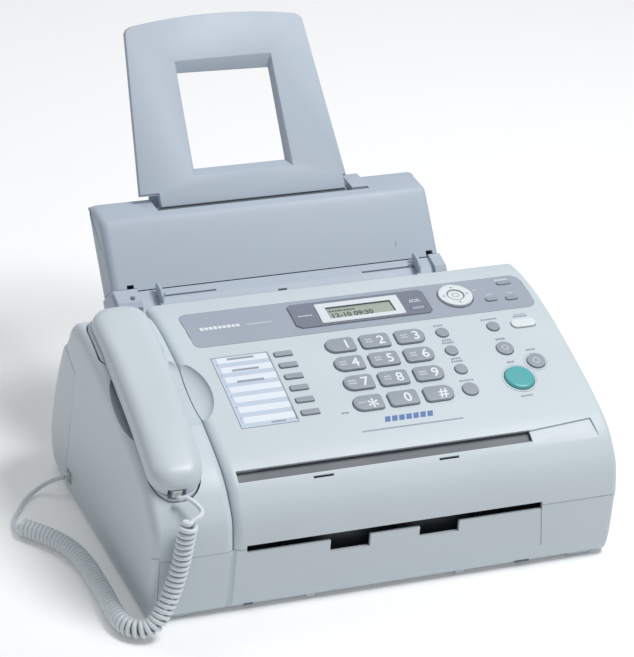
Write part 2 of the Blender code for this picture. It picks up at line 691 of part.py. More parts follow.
boolean(tray_base, cutter("tray_base_hollow", base_hollow), solver="MANIFOLD")
boolean(tray_base, cutter("paper_throat", paper_throat), solver="MANIFOLD")
boolean(tray_base, cutter("tray_base_walls", base_walls), "UNION", "MANIFOLD")
boolean(tray_base, cutter("tray_back_plate", back_plate), "UNION", "MANIFOLD")


def pad(bm):
    """Pad on the back plate behind the extension's stem, with a step to stand on."""
    add_profile(bm, [tray_yz(-6.0, 14.6), tray_yz(70.0, 14.6), tray_yz(71.5, 15.8), tray_yz(71.5, 26.0), tray_yz(-6.0, 26.0)], -104.0, 80.0)


boolean(tray_base, cutter("tray_back_pad", pad), "UNION", "MANIFOLD")
boolean(tray_base, cutter("guide_tracks", guide_tracks), solver="MANIFOLD")
boolean(tray_base, cutter("paper_slot", paper_slot), solver="MANIFOLD")

# tray cover: front, top and sides around the paper, open at the back
cover_outline = [
    tray_yz(-5.2, 0.0), tray_yz(56.6, 0.0), tray_yz(60.4, 0.9), tray_yz(63.4, 3.4), tray_yz(79.4, 21.8), tray_yz(81.4, 25.0), tray_yz(81.2, 27.4),
    tray_yz(78.8, 28.2), tray_yz(77.8, 24.8), tray_yz(-3.0, 24.8),
]
tray_cover = rounded_prism(
    "tray_cover", cover_outline, TRAY_LEFT, TRAY_RIGHT, (7, 6), (6, 6),
    {0: (BACK_Y, BACK_Z), 5: (-0.3 * BACK_Y, -0.5), 6: (-0.1 * BACK_Y, -0.1), 7: (0, 0), 8: (0, 0), 9: (0, 0)}, TRAY, steps=2,
)


def tray_cover_hollow(bm):
    add_profile(bm, [tray_yz(-8.0, 3.0), tray_yz(55.4, 3.0), tray_yz(59.4, 4.6), tray_yz(74.8, 22.0), tray_yz(75.8, 30.0), tray_yz(-8.0, 30.0)], TRAY_LEFT + 3.5, TRAY_RIGHT - 3.5)


def tray_mouth(bm):
    add_profile(bm, [tray_yz(40.0, 6.4), tray_yz(90.0, 6.4), tray_yz(90.0, 32.0), tray_yz(40.0, 32.0)], -106.5, 98.5)


def cover_feet(bm):
    """The cover stops above the side blocks that hold its pivots."""
    for x0, x1 in ((-175.0, -141.2), (139.2, 160.0)):
        add_profile(bm, [tray_yz(-9.0, -3.0), tray_yz(-3.0, -3.0), tray_yz(-2.6, 30.0), tray_yz(-9.0, 30.0)], x0, x1)


def pivot_notches(bm):
    for x0, x1 in ((-151.5, -142.5), (138.0, 147.0)):
        add_profile(bm, [tray_yz(-8.0, -4.0), tray_yz(1.6, -4.0), tray_yz(1.6, 4.0), tray_yz(-8.0, 4.0)], x0, x1)


boolean(tray_cover, cutter("tray_cover_hollow", tray_cover_hollow))
boolean(tray_cover, cutter("tray_mouth", tray_mouth))
boolean(tray_cover, cutter("tray_cover_feet", cover_feet))
boolean(tray_cover, cutter("pivot_notches", pivot_notches))

# extension: dished panel with a window and a stem that stands in the tray
EXT_FRONT = 10.0


def frustum(bm, front, back, w0, w1, x=0.0):
    """Outline in (x, v) that runs from depth w0 to another outline of equal count at depth w1."""
    rows = [[bm.verts.new(tray_point(x + a, b, w)) for a, b in outline] for outline, w in ((front, w0), (back, w1))]
    count = len(front)
    for i in range(count):
        j = (i + 1) % count
        bm.faces.new((rows[0][i], rows[0][j], rows[1][j], rows[1][i]))
    bm.faces.new(rows[0])
    bm.faces.new(list(reversed(rows[1])))


def extension_outline(shrink):
    """Trapezoid with an arched top and rounded shoulders, shrunk all round."""
    left_low, right_low, left_high, right_high = -120.0, 81.0, -106.6, 67.4
    low, high = 81.8, 239.4
    found = [(-102.0 + shrink, 8.0), (78.0 - shrink, 8.0), (78.0 - shrink, low + shrink), (right_low - shrink, low + shrink), (right_high - shrink, high - 6.0)]
    found += [(right_high - 2.4 - shrink, high - 2.0 - shrink * 0.6), (right_high - 7.0 - shrink, high + 0.4 - shrink)]
    centre = (left_high + right_high) / 2
    half = (right_high - left_high) / 2 - 7.0
    for i in range(1, 8):
        x = centre + half * (1 - i / 4.0)
        found.append((x, high + 0.6 + 6.2 * (1 - ((x - centre) / half) ** 2) - shrink))
    found += [(left_high + 7.0 + shrink, high + 0.4 - shrink), (left_high + 2.4 + shrink, high - 2.0 - shrink * 0.6), (left_high + shrink, high - 6.0), (left_low + shrink, low + shrink), (-102.0 + shrink, low + shrink)]
    return found


ext_bm = bmesh.new()
frustum(ext_bm, extension_outline(1.0), extension_outline(0.0), EXT_FRONT, EXT_FRONT + 3.4)
extension = link("tray_extension", mesh_from("tray_extension", ext_bm), TRAY)


def window_rim(bm):
    frustum(bm, [(-70.5, 91.0), (35.5, 91.0), (34.5, 207.5), (-68.5, 207.5)], [(-65.4, 100.4), (30.5, 100.4), (30.8, 196.6), (-64.6, 196.6)], EXT_FRONT + 1.3, EXT_FRONT + 7.7)


def window_hole(bm):
    frustum(bm, [(-66.4, 94.0), (31.0, 94.0), (29.8, 204.4), (-64.4, 204.4)], [(-61.4, 104.8), (26.0, 104.8), (26.6, 190.4), (-60.8, 192.4)], EXT_FRONT - 0.9, EXT_FRONT + 8.6)


boolean(extension, cutter("extension_window_rim", window_rim), "UNION", "MANIFOLD")
boolean(extension, cutter("extension_window_hole", window_hole), solver="MANIFOLD")

# guide block beside the extension
def guide_block(bm):
    add_profile(bm, [tray_yz(56.0, 17.0), tray_yz(59.3, 14.2), tray_yz(68.6, 6.8), tray_yz(69.6, 7.2), tray_yz(85.4, 25.6), tray_yz(85.4, 27.6), tray_yz(74.0, 27.6), tray_yz(73.0, 26.6), tray_yz(56.0, 26.6)], 82.2, 97.4)


boolean(tray_base, cutter("paper_guide_block", guide_block), "UNION", "MANIFOLD")


def make_guide(name, x, side):
    """Upright document guide with a foot that runs in its track."""
    bm = bmesh.new()
    add_profile(bm, [(96.2, 156.4), (98.4, 156.4), (104.2, 158.0), (112.0, 160.6), (113.0, 160.9), (113.6, 168.6), (110.0, 169.8), (101.0, 168.2), (97.0, 163.4)], x, x + 3.0)
    guide = link(name, mesh_from(name, bm), TRAY)
    bevel(guide, 0.7, 1)
    leg = cutter(name + "_leg", lambda made: add_box(made, (min(x, x + side * 5.0) + 0.4, 106.9, 150.5), (max(x, x + side * 5.0) + 2.6, 107.9, 161.0)))
    boolean(guide, leg, "UNION")
    guide.data.transform(Matrix.Translation(-point(x, 107.4, 158.0)))
    guide.location = point(x, 107.4, 158.0)
    return guide


make_guide("document_guide_left", -125.6, 1)
make_guide("document_guide_right", 122.0, -1)

# ---------------------------------------------------------------- handset
UPPER_FRONT = HAND_FRONT + 2.5  # the upper shell stops short of the lower one at the mouth end


def hand_height(s):
    inside = min(s - UPPER_FRONT, HAND_REAR - s)
    rise = 19.5
    if inside < 14.0:
        rise = rise - 9.5 + 9.5 * math.sqrt(max(0.0, 1 - ((14.0 - inside) / 14.0) ** 2))
    return rise


def stations(front):
    return [front, front + 0.8, front + 3.0, front + 7, front + 13, -90, -78, -70, -64, -56, -40, -10, 20, 33, 37, 41, 45, 52, 58, 64, 72, 82, 89, 95, 99.5, 102.2, HAND_REAR]


def half_round(half, low, high, s, steps=10, power=3.2):
    """Half of a squared-off round: flat along low, bulging to high."""
    found = []
    for i in range(steps + 1):
        a = math.pi * i / steps
        c, k = math.cos(a), math.sin(a)
        x = half * math.copysign(abs(c) ** (2 / power), c)
        t = low + (high - low) * abs(k) ** (2 / power)
        found.append(hand_point(hand_x(s) + x, s, t))
    return found


upper = loft("handset_upper_shell", [half_round(hand_half(s, UPPER_FRONT, HAND_REAR), hand_arc(s) + hand_seam(s) + 0.4, hand_arc(s) + hand_height(s), s) for s in stations(UPPER_FRONT)], HANDSET)
smooth(upper)


def lower_low(s):
    inside = min(s - HAND_FRONT, HAND_REAR - s)
    deep = hand_depth(s)
    if inside < 8.0:
        deep = deep - 5.0 + 5.0 * math.sqrt(max(0.0, 1 - ((8.0 - inside) / 8.0) ** 2))
    return hand_arc(s) - deep


lower = loft("handset_lower_shell", [half_round(hand_half(s, HAND_FRONT, HAND_REAR, lower_extra(s)), hand_arc(s) + hand_seam(s), lower_low(s), s, power=4.0) for s in stations(HAND_FRONT)], HANDSET)
smooth(lower)


def handset_jack(bm):
    add_outline(bm, [(-8.0, -12.0), (8.0, -12.0), (8.0, 16.0), (-8.0, 16.0)], hand_frame(JACK_X, HAND_FRONT - 2.0, hand_arc(HAND_FRONT) - 0.5), 0.0, 8.4)


jack_cutter = cutter("handset_jack", handset_jack)
boolean(lower, jack_cutter)
boolean(upper, jack_cutter)

# hook switch under the ear end
hook_bm = bmesh.new()
add_outline(hook_bm, rounded(6.0, 11.0, 1.8, 2), Matrix.Identity(4), -16.0, 0.0)
hook = link("hook_switch_plunger", mesh_from("hook_switch_plunger", hook_bm), DARK)
hook.matrix_world = hand_frame(HAND_X, 40.0, hand_arc(40.0) - hand_depth(40.0) - 1.4)

# ---------------------------------------------------------------- rollers and inner parts
turned("document_feed_roller", [(0, 118), (3, 118), (3, 62), (8, 62), (8, 34), (3, 34), (3, -34), (8, -34), (8, -62), (3, -62), (3, -118), (0, -118)], (0, 40.0, 132.0), RUBBER, 14)
turned("paper_pickup_roller", [(0, 112), (4, 112), (4, 30), (13, 30), (13, -30), (4, -30), (4, -112), (0, -112)], (-10.0, 88.0, 98.0), RUBBER, 16)
turned("fuser_roller", [(0, 128), (5, 128), (5, 116), (12, 116), (12, -116), (5, -116), (5, -128), (0, -128)], (4.0, -84.0, 66.0), DARK, 16)
turned("paper_exit_roller", [(0, 132), (2.6, 132), (2.6, 96), (6, 96), (6, 78), (2.6, 78), (2.6, 9), (6, 9), (6, -9), (2.6, -9), (2.6, -78), (6, -78), (6, -96), (2.6, -96), (2.6, -132), (0, -132)], (4.0, -132.0, 66.0), RUBBER, 12)

drum_bm = bmesh.new()
add_profile(drum_bm, [(-56, 52), (-20, 46), (14, 50), (30, 66), (28, 84), (8, 96), (-30, 98), (-54, 84)], -112.0, 120.0)
drum = link("drum_cartridge", mesh_from("drum_cartridge", drum_bm), DARK)
bevel(drum, 3.0, 2, 20)

board_bm = bmesh.new()
add_box(board_bm, (-110, -96, 9.0), (184, 40, 10.6))
board = link("main_board", mesh_from("main_board", board_bm), BOARD)


def board_parts(bm):
    for x, y, w, d, h in ((-70, -60, 30, 30, 4), (-10, -40, 22, 22, 3), (60, -70, 40, 18, 8), (120, 0, 36, 24, 18), (150, -60, 18, 18, 14), (-90, 10, 24, 12, 10)):
        add_box(bm, (x, y, 10.0), (x + w, y + d, 10.6 + h))


boolean(board, cutter("main_board_parts", board_parts), "UNION")

# ---------------------------------------------------------------- handset cord
def route(points, step):
    """Evenly spaced points of a smooth curve through the given ones (Catmull-Rom, centripetal)."""
    pts = [np.array(p, float) for p in points]
    pts = [2 * pts[0] - pts[1]] + pts + [2 * pts[-1] - pts[-2]]
    fine = []
    for i in range(1, len(pts) - 2):
        p0, p1, p2, p3 = pts[i - 1 : i + 3]
        t0 = 0.0
        t1 = t0 + np.linalg.norm(p1 - p0) ** 0.5
        t2 = t1 + np.linalg.norm(p2 - p1) ** 0.5
        t3 = t2 + np.linalg.norm(p3 - p2) ** 0.5
        for t in np.linspace(t1, t2, 24, endpoint=False):
            a1 = (t1 - t) / (t1 - t0) * p0 + (t - t0) / (t1 - t0) * p1
            a2 = (t2 - t) / (t2 - t1) * p1 + (t - t1) / (t2 - t1) * p2
            a3 = (t3 - t) / (t3 - t2) * p2 + (t - t2) / (t3 - t2) * p3
            b1 = (t2 - t) / (t2 - t0) * a1 + (t - t0) / (t2 - t0) * a2
            b2 = (t3 - t) / (t3 - t1) * a2 + (t - t1) / (t3 - t1) * a3
            fine.append((t2 - t) / (t2 - t1) * b1 + (t - t1) / (t2 - t1) * b2)
    fine.append(pts[-2])
    fine = np.array(fine)
    run = np.concatenate([[0], np.cumsum(np.linalg.norm(np.diff(fine, axis=0), axis=1))])
    count = max(3, int(round(run[-1] / step)) + 1)
    at = np.linspace(0, run[-1], count)
    return [tuple(np.interp(s, run, fine[:, k]) for k in range(3)) for s in at]


def tube(name, points, diameter, made_of, resolution=2):
    curve = bpy.data.curves.new(name, "CURVE")
    curve.dimensions = "3D"
    curve.bevel_depth = diameter / 2 * MM
    curve.bevel_resolution = resolution
    curve.use_fill_caps = True
    spline = curve.splines.new("POLY")
    spline.points.add(len(points) - 1)
    for spot, p in zip(spline.points, points):
        spot.co = (*point(*p), 1.0)
    obj = bpy.data.objects.new(name, curve)
    curve.materials.append(made_of)
    PARTS.objects.link(obj)
    return obj


COIL_ROUTE = [
    (-188.1, -164.6, 101.9), (-189.9, -164.8, 94.0), (-191.5, -165.0, 83.4), (-193.4, -165.6, 69.0), (-196.4, -166.4, 54.8), (-200.3, -167.6, 41.0),
    (-204.2, -169.0, 31.0), (-209.4, -170.6, 20.6), (-215.4, -171.8, 11.8), (-222.5, -171.2, 6.4), (-231.5, -166.6, 4.6), (-238.0, -156.0, 4.3),
    (-239.8, -137.0, 4.3), (-239.2, -112.6, 4.3), (-239.4, -90.6, 4.3), (-240.0, -68.8, 4.3), (-242.6, -48.7, 4.3), (-247.4, -32.5, 4.3),
    (-255.5, -18.0, 4.3), (-264.8, -6.0, 4.3), (-277.5, 8.6, 4.3),
]
tube("cord_coil", route(COIL_ROUTE, 11.0), COIL_D, CORD, 2)



def hand_yz(s, t):
    c, k = math.cos(HAND_SLOPE), math.sin(HAND_SLOPE)
    return (HAND_Y + c * s - k * t, HAND_Z + k * s + c * t)


PLUG_T = hand_arc(HAND_FRONT) + 4.0  # middle of the plug and of the lead that leaves it
LEAD_HAND = [
    (JACK_X, *hand_yz(HAND_FRONT - 1.6, PLUG_T)), (JACK_X + 0.6, *hand_yz(HAND_FRONT - 4.2, PLUG_T)), (-185.4, -142.4, 111.0), (-180.4, -147.4, 109.2),
    (-176.4, -152.4, 106.2), (-175.4, -157.4, 104.6), (-177.4, -161.4, 103.9), (-180.4, -163.2, 103.6), (-181.9, -163.6, 102.2),
]
tube("cord_lead_handset", route(LEAD_HAND, 3.6), WIRE, CORD, 2)
BASE_PLUG_END = (-219.7, 63.2, 11.7)
LEAD_BASE = [
    (-278.3, 9.6, 0.2), (-279.7, 13.4, -0.8), (-279.0, 20.0, -1.8), (-275.4, 28.6, -2.1), (-269.8, 37.8, -2.1), (-258.5, 54.1, -2.1),
    (-247.3, 64.4, -0.8), (-235.8, 67.6, 4.0), (-228.0, 64.4, 9.4), (-222.6, 63.4, 11.4), BASE_PLUG_END,
]
tube("cord_lead_base", route(LEAD_BASE, 7.5), WIRE, CORD, 2)

plug_bm = bmesh.new()
add_box(plug_bm, (-219.1, 59.0, 7.6), (-210.0, 67.4, 15.8))
plug_base = link("plug_base", mesh_from("plug_base", plug_bm), PLUG)
bevel(plug_base, 0.6, 1)

plug_frame = hand_frame(JACK_X, HAND_FRONT - 2.0, hand_arc(HAND_FRONT) + 1.0)
hp_bm = bmesh.new()
add_outline(hp_bm, rounded(8.6, 9.0, 0.8, 1), Matrix.Identity(4), 0.0, 6.0)
plug_handset = link("plug_handset", mesh_from("plug_handset", hp_bm), PLUG)
plug_handset.matrix_world = plug_frame @ Matrix.Translation((0.0, 7.2 * MM, 0.0))
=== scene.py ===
"""Looks of the fax machine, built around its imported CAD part."""

import json
import math

import bmesh
import bpy
import numpy as np
from mathutils import Matrix, Vector

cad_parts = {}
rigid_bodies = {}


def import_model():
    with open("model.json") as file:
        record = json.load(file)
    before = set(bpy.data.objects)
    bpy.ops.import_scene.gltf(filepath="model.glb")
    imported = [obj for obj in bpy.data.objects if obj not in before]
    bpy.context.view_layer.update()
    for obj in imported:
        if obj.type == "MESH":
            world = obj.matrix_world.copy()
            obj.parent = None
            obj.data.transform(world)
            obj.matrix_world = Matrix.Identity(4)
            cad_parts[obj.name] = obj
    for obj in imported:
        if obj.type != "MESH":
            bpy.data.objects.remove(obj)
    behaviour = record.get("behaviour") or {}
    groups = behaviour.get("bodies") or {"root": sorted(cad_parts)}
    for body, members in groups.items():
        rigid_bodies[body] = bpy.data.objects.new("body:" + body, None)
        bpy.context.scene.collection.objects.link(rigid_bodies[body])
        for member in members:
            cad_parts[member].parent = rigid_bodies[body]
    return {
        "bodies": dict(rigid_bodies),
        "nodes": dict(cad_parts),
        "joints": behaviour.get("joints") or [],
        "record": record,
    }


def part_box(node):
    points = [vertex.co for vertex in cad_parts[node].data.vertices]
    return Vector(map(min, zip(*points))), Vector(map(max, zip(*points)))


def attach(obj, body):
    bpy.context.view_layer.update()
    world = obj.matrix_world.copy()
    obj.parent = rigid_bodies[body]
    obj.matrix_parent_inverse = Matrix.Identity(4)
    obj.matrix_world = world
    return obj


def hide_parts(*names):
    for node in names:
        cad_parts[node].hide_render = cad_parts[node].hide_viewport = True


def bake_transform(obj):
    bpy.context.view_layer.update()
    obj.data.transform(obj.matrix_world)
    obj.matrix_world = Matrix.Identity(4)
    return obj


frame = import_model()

cad_low = Vector((1e9, 1e9, 1e9))
cad_high = Vector((-1e9, -1e9, -1e9))
for _name in frame["nodes"]:
    _a, _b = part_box(_name)
    cad_low = Vector(map(min, cad_low, _a))
    cad_high = Vector(map(max, cad_high, _b))

NODE_BODY = {node: body for body, nodes in frame["record"]["behaviour"]["bodies"].items() for node in nodes}

# ---------------------------------------------------------------- driving dimensions (millimetres)
MM = 0.001
SHIFT_X = 0.75  # moves the drawing frame onto the centre of the outline
SHIFT_Y = -68.53
SHIFT_Z = 4.0  # the feet stand 4 mm under the case
GAP = 0.3  # between touching pieces

CASE_LEFT = -215.0
CASE_RIGHT = 213.5
CRADLE_RIGHT = -143.7  # inner edge of the handset cradle
COVER_LEFT = -142.9
PANEL_LEFT = -209.0  # inner edge of the left side panel, which belongs to the cradle
SEAM_Z = 58.8
CASE_FRONT = -155.2
WALL = 3.0
COVER_REAR = 88.5
HINGE_Y, HINGE_Z = 86.0, 157.0  # top cover hinge line

# side outline of the control panel and of the cradle: (depth, height)
PANEL_Y = (-154.5, -153.5, -151, -147, -140, -130, -117, -100, -77, -50, -22, 0, 33, 50, 70, 88.5)
PANEL_Z = (SEAM_Z, 74, 84, 91.5, 100, 109.5, 117.5, 124.5, 132.5, 140.5, 148, 153.5, 159.3, 161, 161.5, 160)

# paper tray: a plane that leans back from P0 along UP, depth measured along BACK
TRAY_Y, TRAY_Z = 120.0, 165.0
LEAN = math.radians(41.2)
TRAY_LEFT, TRAY_RIGHT = -163.5, 152.0

# handset frame: s runs up the cradle, t stands off it
HAND_X, HAND_Y, HAND_Z = -182.0, -29.0, 147.0
HAND_SLOPE = math.atan2(0.277, 0.961)
HAND_FRONT, HAND_REAR = -114.5, 103.0
HAND_HALF = 25.6
JACK_X = -190.0

KEY_CLEAR = 0.45
KEY_DEPTH = 4.6

WIRE = 3.6
COIL_D = 16.0



# ---------------------------------------------------------------- helpers
PARTS = bpy.data.collections.new("visual")
CUTTERS = bpy.data.collections.new("visual_cutters")
bpy.context.scene.collection.children.link(PARTS)
bpy.context.scene.collection.children.link(CUTTERS)
BUILT = {}


def link(name, mesh, made_of, cutter=False):
    obj = bpy.data.objects.new("v_" + name, mesh)
    if cutter:
        CUTTERS.objects.link(obj)
        obj.hide_render = True
    else:
        PARTS.objects.link(obj)
        mesh.materials.clear()
        mesh.materials.append(made_of)
        BUILT[name] = obj
    return obj


def point(x, y, z):
    return Vector(((x + SHIFT_X) * MM, (y + SHIFT_Y) * MM, (z + SHIFT_Z) * MM))


def mesh_from(name, bm):
    bmesh.ops.recalc_face_normals(bm, faces=bm.faces)
    mesh = bpy.data.meshes.new(name)
    bm.to_mesh(mesh)
    bm.free()
    return mesh


def smooth(obj, angle=35):
    obj.data.shade_smooth()
    obj.data.set_sharp_from_angle(angle=math.radians(angle))
    return obj


def boolean(obj, other, operation="DIFFERENCE", solver="EXACT"):
    modifier = obj.modifiers.new(operation.lower(), "BOOLEAN")
    modifier.operation = operation
    modifier.solver = solver
    modifier.object = other
    return modifier


def bevel(obj, width, segments=2, angle=40):
    modifier = obj.modifiers.new("round", "BEVEL")
    modifier.width = width * MM
    modifier.segments = segments
    modifier.limit_method = "ANGLE"
    modifier.angle_limit = math.radians(angle)
    modifier.use_clamp_overlap = True
    return modifier


def add_box(bm, low, high):
    """A box between two corners given in the drawing frame."""
    a, b = point(*low), point(*high)
    size = Matrix.Diagonal((b.x - a.x, b.y - a.y, b.z - a.z, 1.0))
    bmesh.ops.create_cube(bm, size=1.0, matrix=Matrix.Translation((a + b) / 2) @ size)


def add_outline(bm, outline, frame, low, high):
    """A flat outline extruded between two heights of a frame."""
    verts = [bm.verts.new(frame @ Vector((x * MM, y * MM, low * MM))) for x, y in outline]
    face = bm.faces.new(verts)
    grown = bmesh.ops.extrude_face_region(bm, geom=[face])
    moved = [v for v in grown["geom"] if isinstance(v, bmesh.types.BMVert)]
    lift = frame.to_3x3() @ Vector((0, 0, (high - low) * MM))
    bmesh.ops.translate(bm, verts=moved, vec=lift)


def add_profile(bm, profile, x0, x1):
    """A (depth, height) outline extruded across the machine."""
    verts = [bm.verts.new(point(x0, y, z)) for y, z in profile]
    face = bm.faces.new(verts)
    grown = bmesh.ops.extrude_face_region(bm, geom=[face])
    moved = [v for v in grown["geom"] if isinstance(v, bmesh.types.BMVert)]
    bmesh.ops.translate(bm, verts=moved, vec=Vector(((x1 - x0) * MM, 0, 0)))


def panel_z(y):
    return float(np.interp(y, PANEL_Y, PANEL_Z))


def panel_slope(y, reach=8.0):
    return (panel_z(y + reach) - panel_z(y - reach)) / (2 * reach)


def panel_frame(x, y, lift=0.0):
    """Local frame on the panel: X across, Y up the slope, Z out of the surface."""
    slope = panel_slope(y)
    across = Vector((1, 0, 0))
    up = Vector((0, 1, slope)).normalized()
    out = across.cross(up)
    frame = Matrix((across, up, out)).transposed().to_4x4()
    frame.translation = point(x, y, panel_z(y)) + out * lift * MM
    return frame


def grow(outline, by):
    """Outline offset outwards by its vertex normals."""
    found = []
    count = len(outline)
    for i in range(count):
        a, b, c = outline[i - 1], outline[i], outline[(i + 1) % count]
        n1 = Vector((b[1] - a[1], a[0] - b[0])).normalized()
        n2 = Vector((c[1] - b[1], b[0] - c[0])).normalized()
        n = (n1 + n2).normalized()
        found.append((b[0] + n.x * by / max(0.5, n.dot(n1)), b[1] + n.y * by / max(0.5, n.dot(n1))))
    return found


def loft(name, rings, made_of):
    """Closed solid through rings of equal vertex count, each a list of points in metres."""
    bm = bmesh.new()
    rows = [[bm.verts.new(p) for p in ring] for ring in rings]
    count = len(rows[0])
    for a, b in zip(rows, rows[1:]):
        for i in range(count):
            j = (i + 1) % count
            bm.faces.new((a[i], a[j], b[j], b[i]))
    bm.faces.new(rows[0])
    bm.faces.new(list(reversed(rows[-1])))
    return link(name, mesh_from(name, bm), made_of)


def cutter(name, build):
    bm = bmesh.new()
    build(bm)
    return link(name, mesh_from(name, bm), None, cutter=True)



def rounded(width, height, radius, steps=3):
    """Rounded rectangle outline, anticlockwise, finely divided."""
    steps = max(6, steps * 3)
    radius = min(radius, width / 2 - 1e-3, height / 2 - 1e-3)
    found = []
    for cx, cy, start in (
        (width / 2 - radius, height / 2 - radius, 0),
        (radius - width / 2, height / 2 - radius, 90),
        (radius - width / 2, radius - height / 2, 180),
        (width / 2 - radius, radius - height / 2, 270),
    ):
        for i in range(steps + 1):
            a = math.radians(start + 90 * i / steps)
            found.append((cx + radius * math.cos(a), cy + radius * math.sin(a)))
    return found


def circle(radius, count=16):
    count = 56
    return [(radius * math.cos(2 * math.pi * i / count), radius * math.sin(2 * math.pi * i / count)) for i in range(count)]


def refine(rows, corners, step=3.0):
    """Rows of numbers, whose first two are a place, made dense and smooth between the corners (centripetal Catmull-Rom)."""
    count = len(rows)
    rows = [np.array(r, float) for r in rows]
    corners = sorted(corners)
    out = []
    for a, b in zip(corners, corners[1:] + [corners[0] + count]):
        run = [rows[i % count] for i in range(a, b + 1)]
        if len(run) == 2:
            pieces = max(1, int(np.linalg.norm(run[1][:2] - run[0][:2]) / 14.0))
            out += [run[0] + (run[1] - run[0]) * k / pieces for k in range(pieces)]
            continue
        pts = [2 * run[0] - run[1]] + run + [2 * run[-1] - run[-2]]
        for i in range(1, len(pts) - 2):
            p0, p1, p2, p3 = pts[i - 1 : i + 3]
            d = lambda u, v: max(1e-6, np.linalg.norm(v[:2] - u[:2]) ** 0.5)
            t0, t1 = 0.0, d(p0, p1)
            t2 = t1 + d(p1, p2)
            t3 = t2 + d(p2, p3)
            pieces = max(2, int(round(np.linalg.norm(p2[:2] - p1[:2]) / step)))
            for t in np.linspace(t1, t2, pieces, endpoint=False):
                a1 = (t1 - t) / (t1 - t0) * p0 + (t - t0) / (t1 - t0) * p1
                a2 = (t2 - t) / (t2 - t1) * p1 + (t - t1) / (t2 - t1) * p2
                a3 = (t3 - t) / (t3 - t2) * p2 + (t - t2) / (t3 - t2) * p3
                b1 = (t2 - t) / (t2 - t0) * a1 + (t - t0) / (t2 - t0) * a2
                b2 = (t3 - t) / (t3 - t1) * a2 + (t - t1) / (t3 - t1) * a3
                out.append((t2 - t) / (t2 - t1) * b1 + (t - t1) / (t2 - t1) * b2)
    return out


def rounded_prism(name, profile, x0, x1, left, right, fixed, made_of, steps=2):
    """Profile extruded across the machine with rounded ends, dense and smooth between its corners."""
    count = len(profile)
    area = sum(profile[i - 1][0] * profile[i][1] - profile[i][0] * profile[i - 1][1] for i in range(count))
    turn = 1 if area > 0 else -1
    rows, corners = [], []
    for i in range(count):
        a, b, c = (Vector(profile[j % count]) for j in (i - 1, i, i + 1))
        n1 = Vector((-(b - a).y, (b - a).x)).normalized() * turn
        n2 = Vector((-(c - b).y, (c - b).x)).normalized() * turn
        n = (n1 + n2).normalized()
        n = n / max(0.4, n.dot(n1))
        if n1.dot(n2) < math.cos(math.radians(27)):
            corners.append(i)
        if i in fixed:
            n = Vector(fixed[i])
        rows.append((b.x, b.y, n.x, n.y))
    rows = refine(rows, corners)

    def ring(x, shrink):
        return [point(x, r[0] + r[2] * shrink, r[1] + r[3] * shrink) for r in rows]

    steps = 9
    rings = []
    if left[0]:
        for i in range(steps + 1):
            a = math.radians(90 * i / steps)
            rings.append(ring(x0 + left[0] * (1 - math.cos(a)), left[1] * (1 - math.sin(a))))
    else:
        rings.append(ring(x0, 0))
    if right[0]:
        for i in range(steps, -1, -1):
            a = math.radians(90 * i / steps)
            rings.append(ring(x1 - right[0] * (1 - math.cos(a)), right[1] * (1 - math.sin(a))))
    else:
        rings.append(ring(x1, 0))
    return loft(name, rings, made_of)


def hand_point(x, s, t):
    c, k = math.cos(HAND_SLOPE), math.sin(HAND_SLOPE)
    return point(x, HAND_Y + c * s - k * t, HAND_Z + k * s + c * t)


def hand_arc(s):
    return -0.4 - 0.00095 * (s + 20.0) ** 2


def hand_x(s):
    """Middle of the handset, which lies at a slight angle in its cradle."""
    return HAND_X - 0.6 + 0.042 * s


def hand_yz(s, t):
    c, k = math.cos(HAND_SLOPE), math.sin(HAND_SLOPE)
    return (HAND_Y + c * s - k * t, HAND_Z + k * s + c * t)



def route(points, step):
    """Evenly spaced points of a smooth curve through the given ones (Catmull-Rom, centripetal)."""
    pts = [np.array(p, float) for p in points]
    pts = [2 * pts[0] - pts[1]] + pts + [2 * pts[-1] - pts[-2]]
    fine = []
    for i in range(1, len(pts) - 2):
        p0, p1, p2, p3 = pts[i - 1 : i + 3]
        t0 = 0.0
        t1 = t0 + np.linalg.norm(p1 - p0) ** 0.5
        t2 = t1 + np.linalg.norm(p2 - p1) ** 0.5
        t3 = t2 + np.linalg.norm(p3 - p2) ** 0.5
        for t in np.linspace(t1, t2, 24, endpoint=False):
            a1 = (t1 - t) / (t1 - t0) * p0 + (t - t0) / (t1 - t0) * p1
            a2 = (t2 - t) / (t2 - t1) * p1 + (t - t1) / (t2 - t1) * p2
            a3 = (t3 - t) / (t3 - t2) * p2 + (t - t2) / (t3 - t2) * p3
            b1 = (t2 - t) / (t2 - t0) * a1 + (t - t0) / (t2 - t0) * a2
            b2 = (t3 - t) / (t3 - t1) * a2 + (t - t1) / (t3 - t1) * a3
            fine.append((t2 - t) / (t2 - t1) * b1 + (t - t1) / (t2 - t1) * b2)
    fine.append(pts[-2])
    fine = np.array(fine)
    run = np.concatenate([[0], np.cumsum(np.linalg.norm(np.diff(fine, axis=0), axis=1))])
    count = max(3, int(round(run[-1] / step)) + 1)
    at = np.linspace(0, run[-1], count)
    return [tuple(np.interp(s, run, fine[:, k]) for k in range(3)) for s in at]




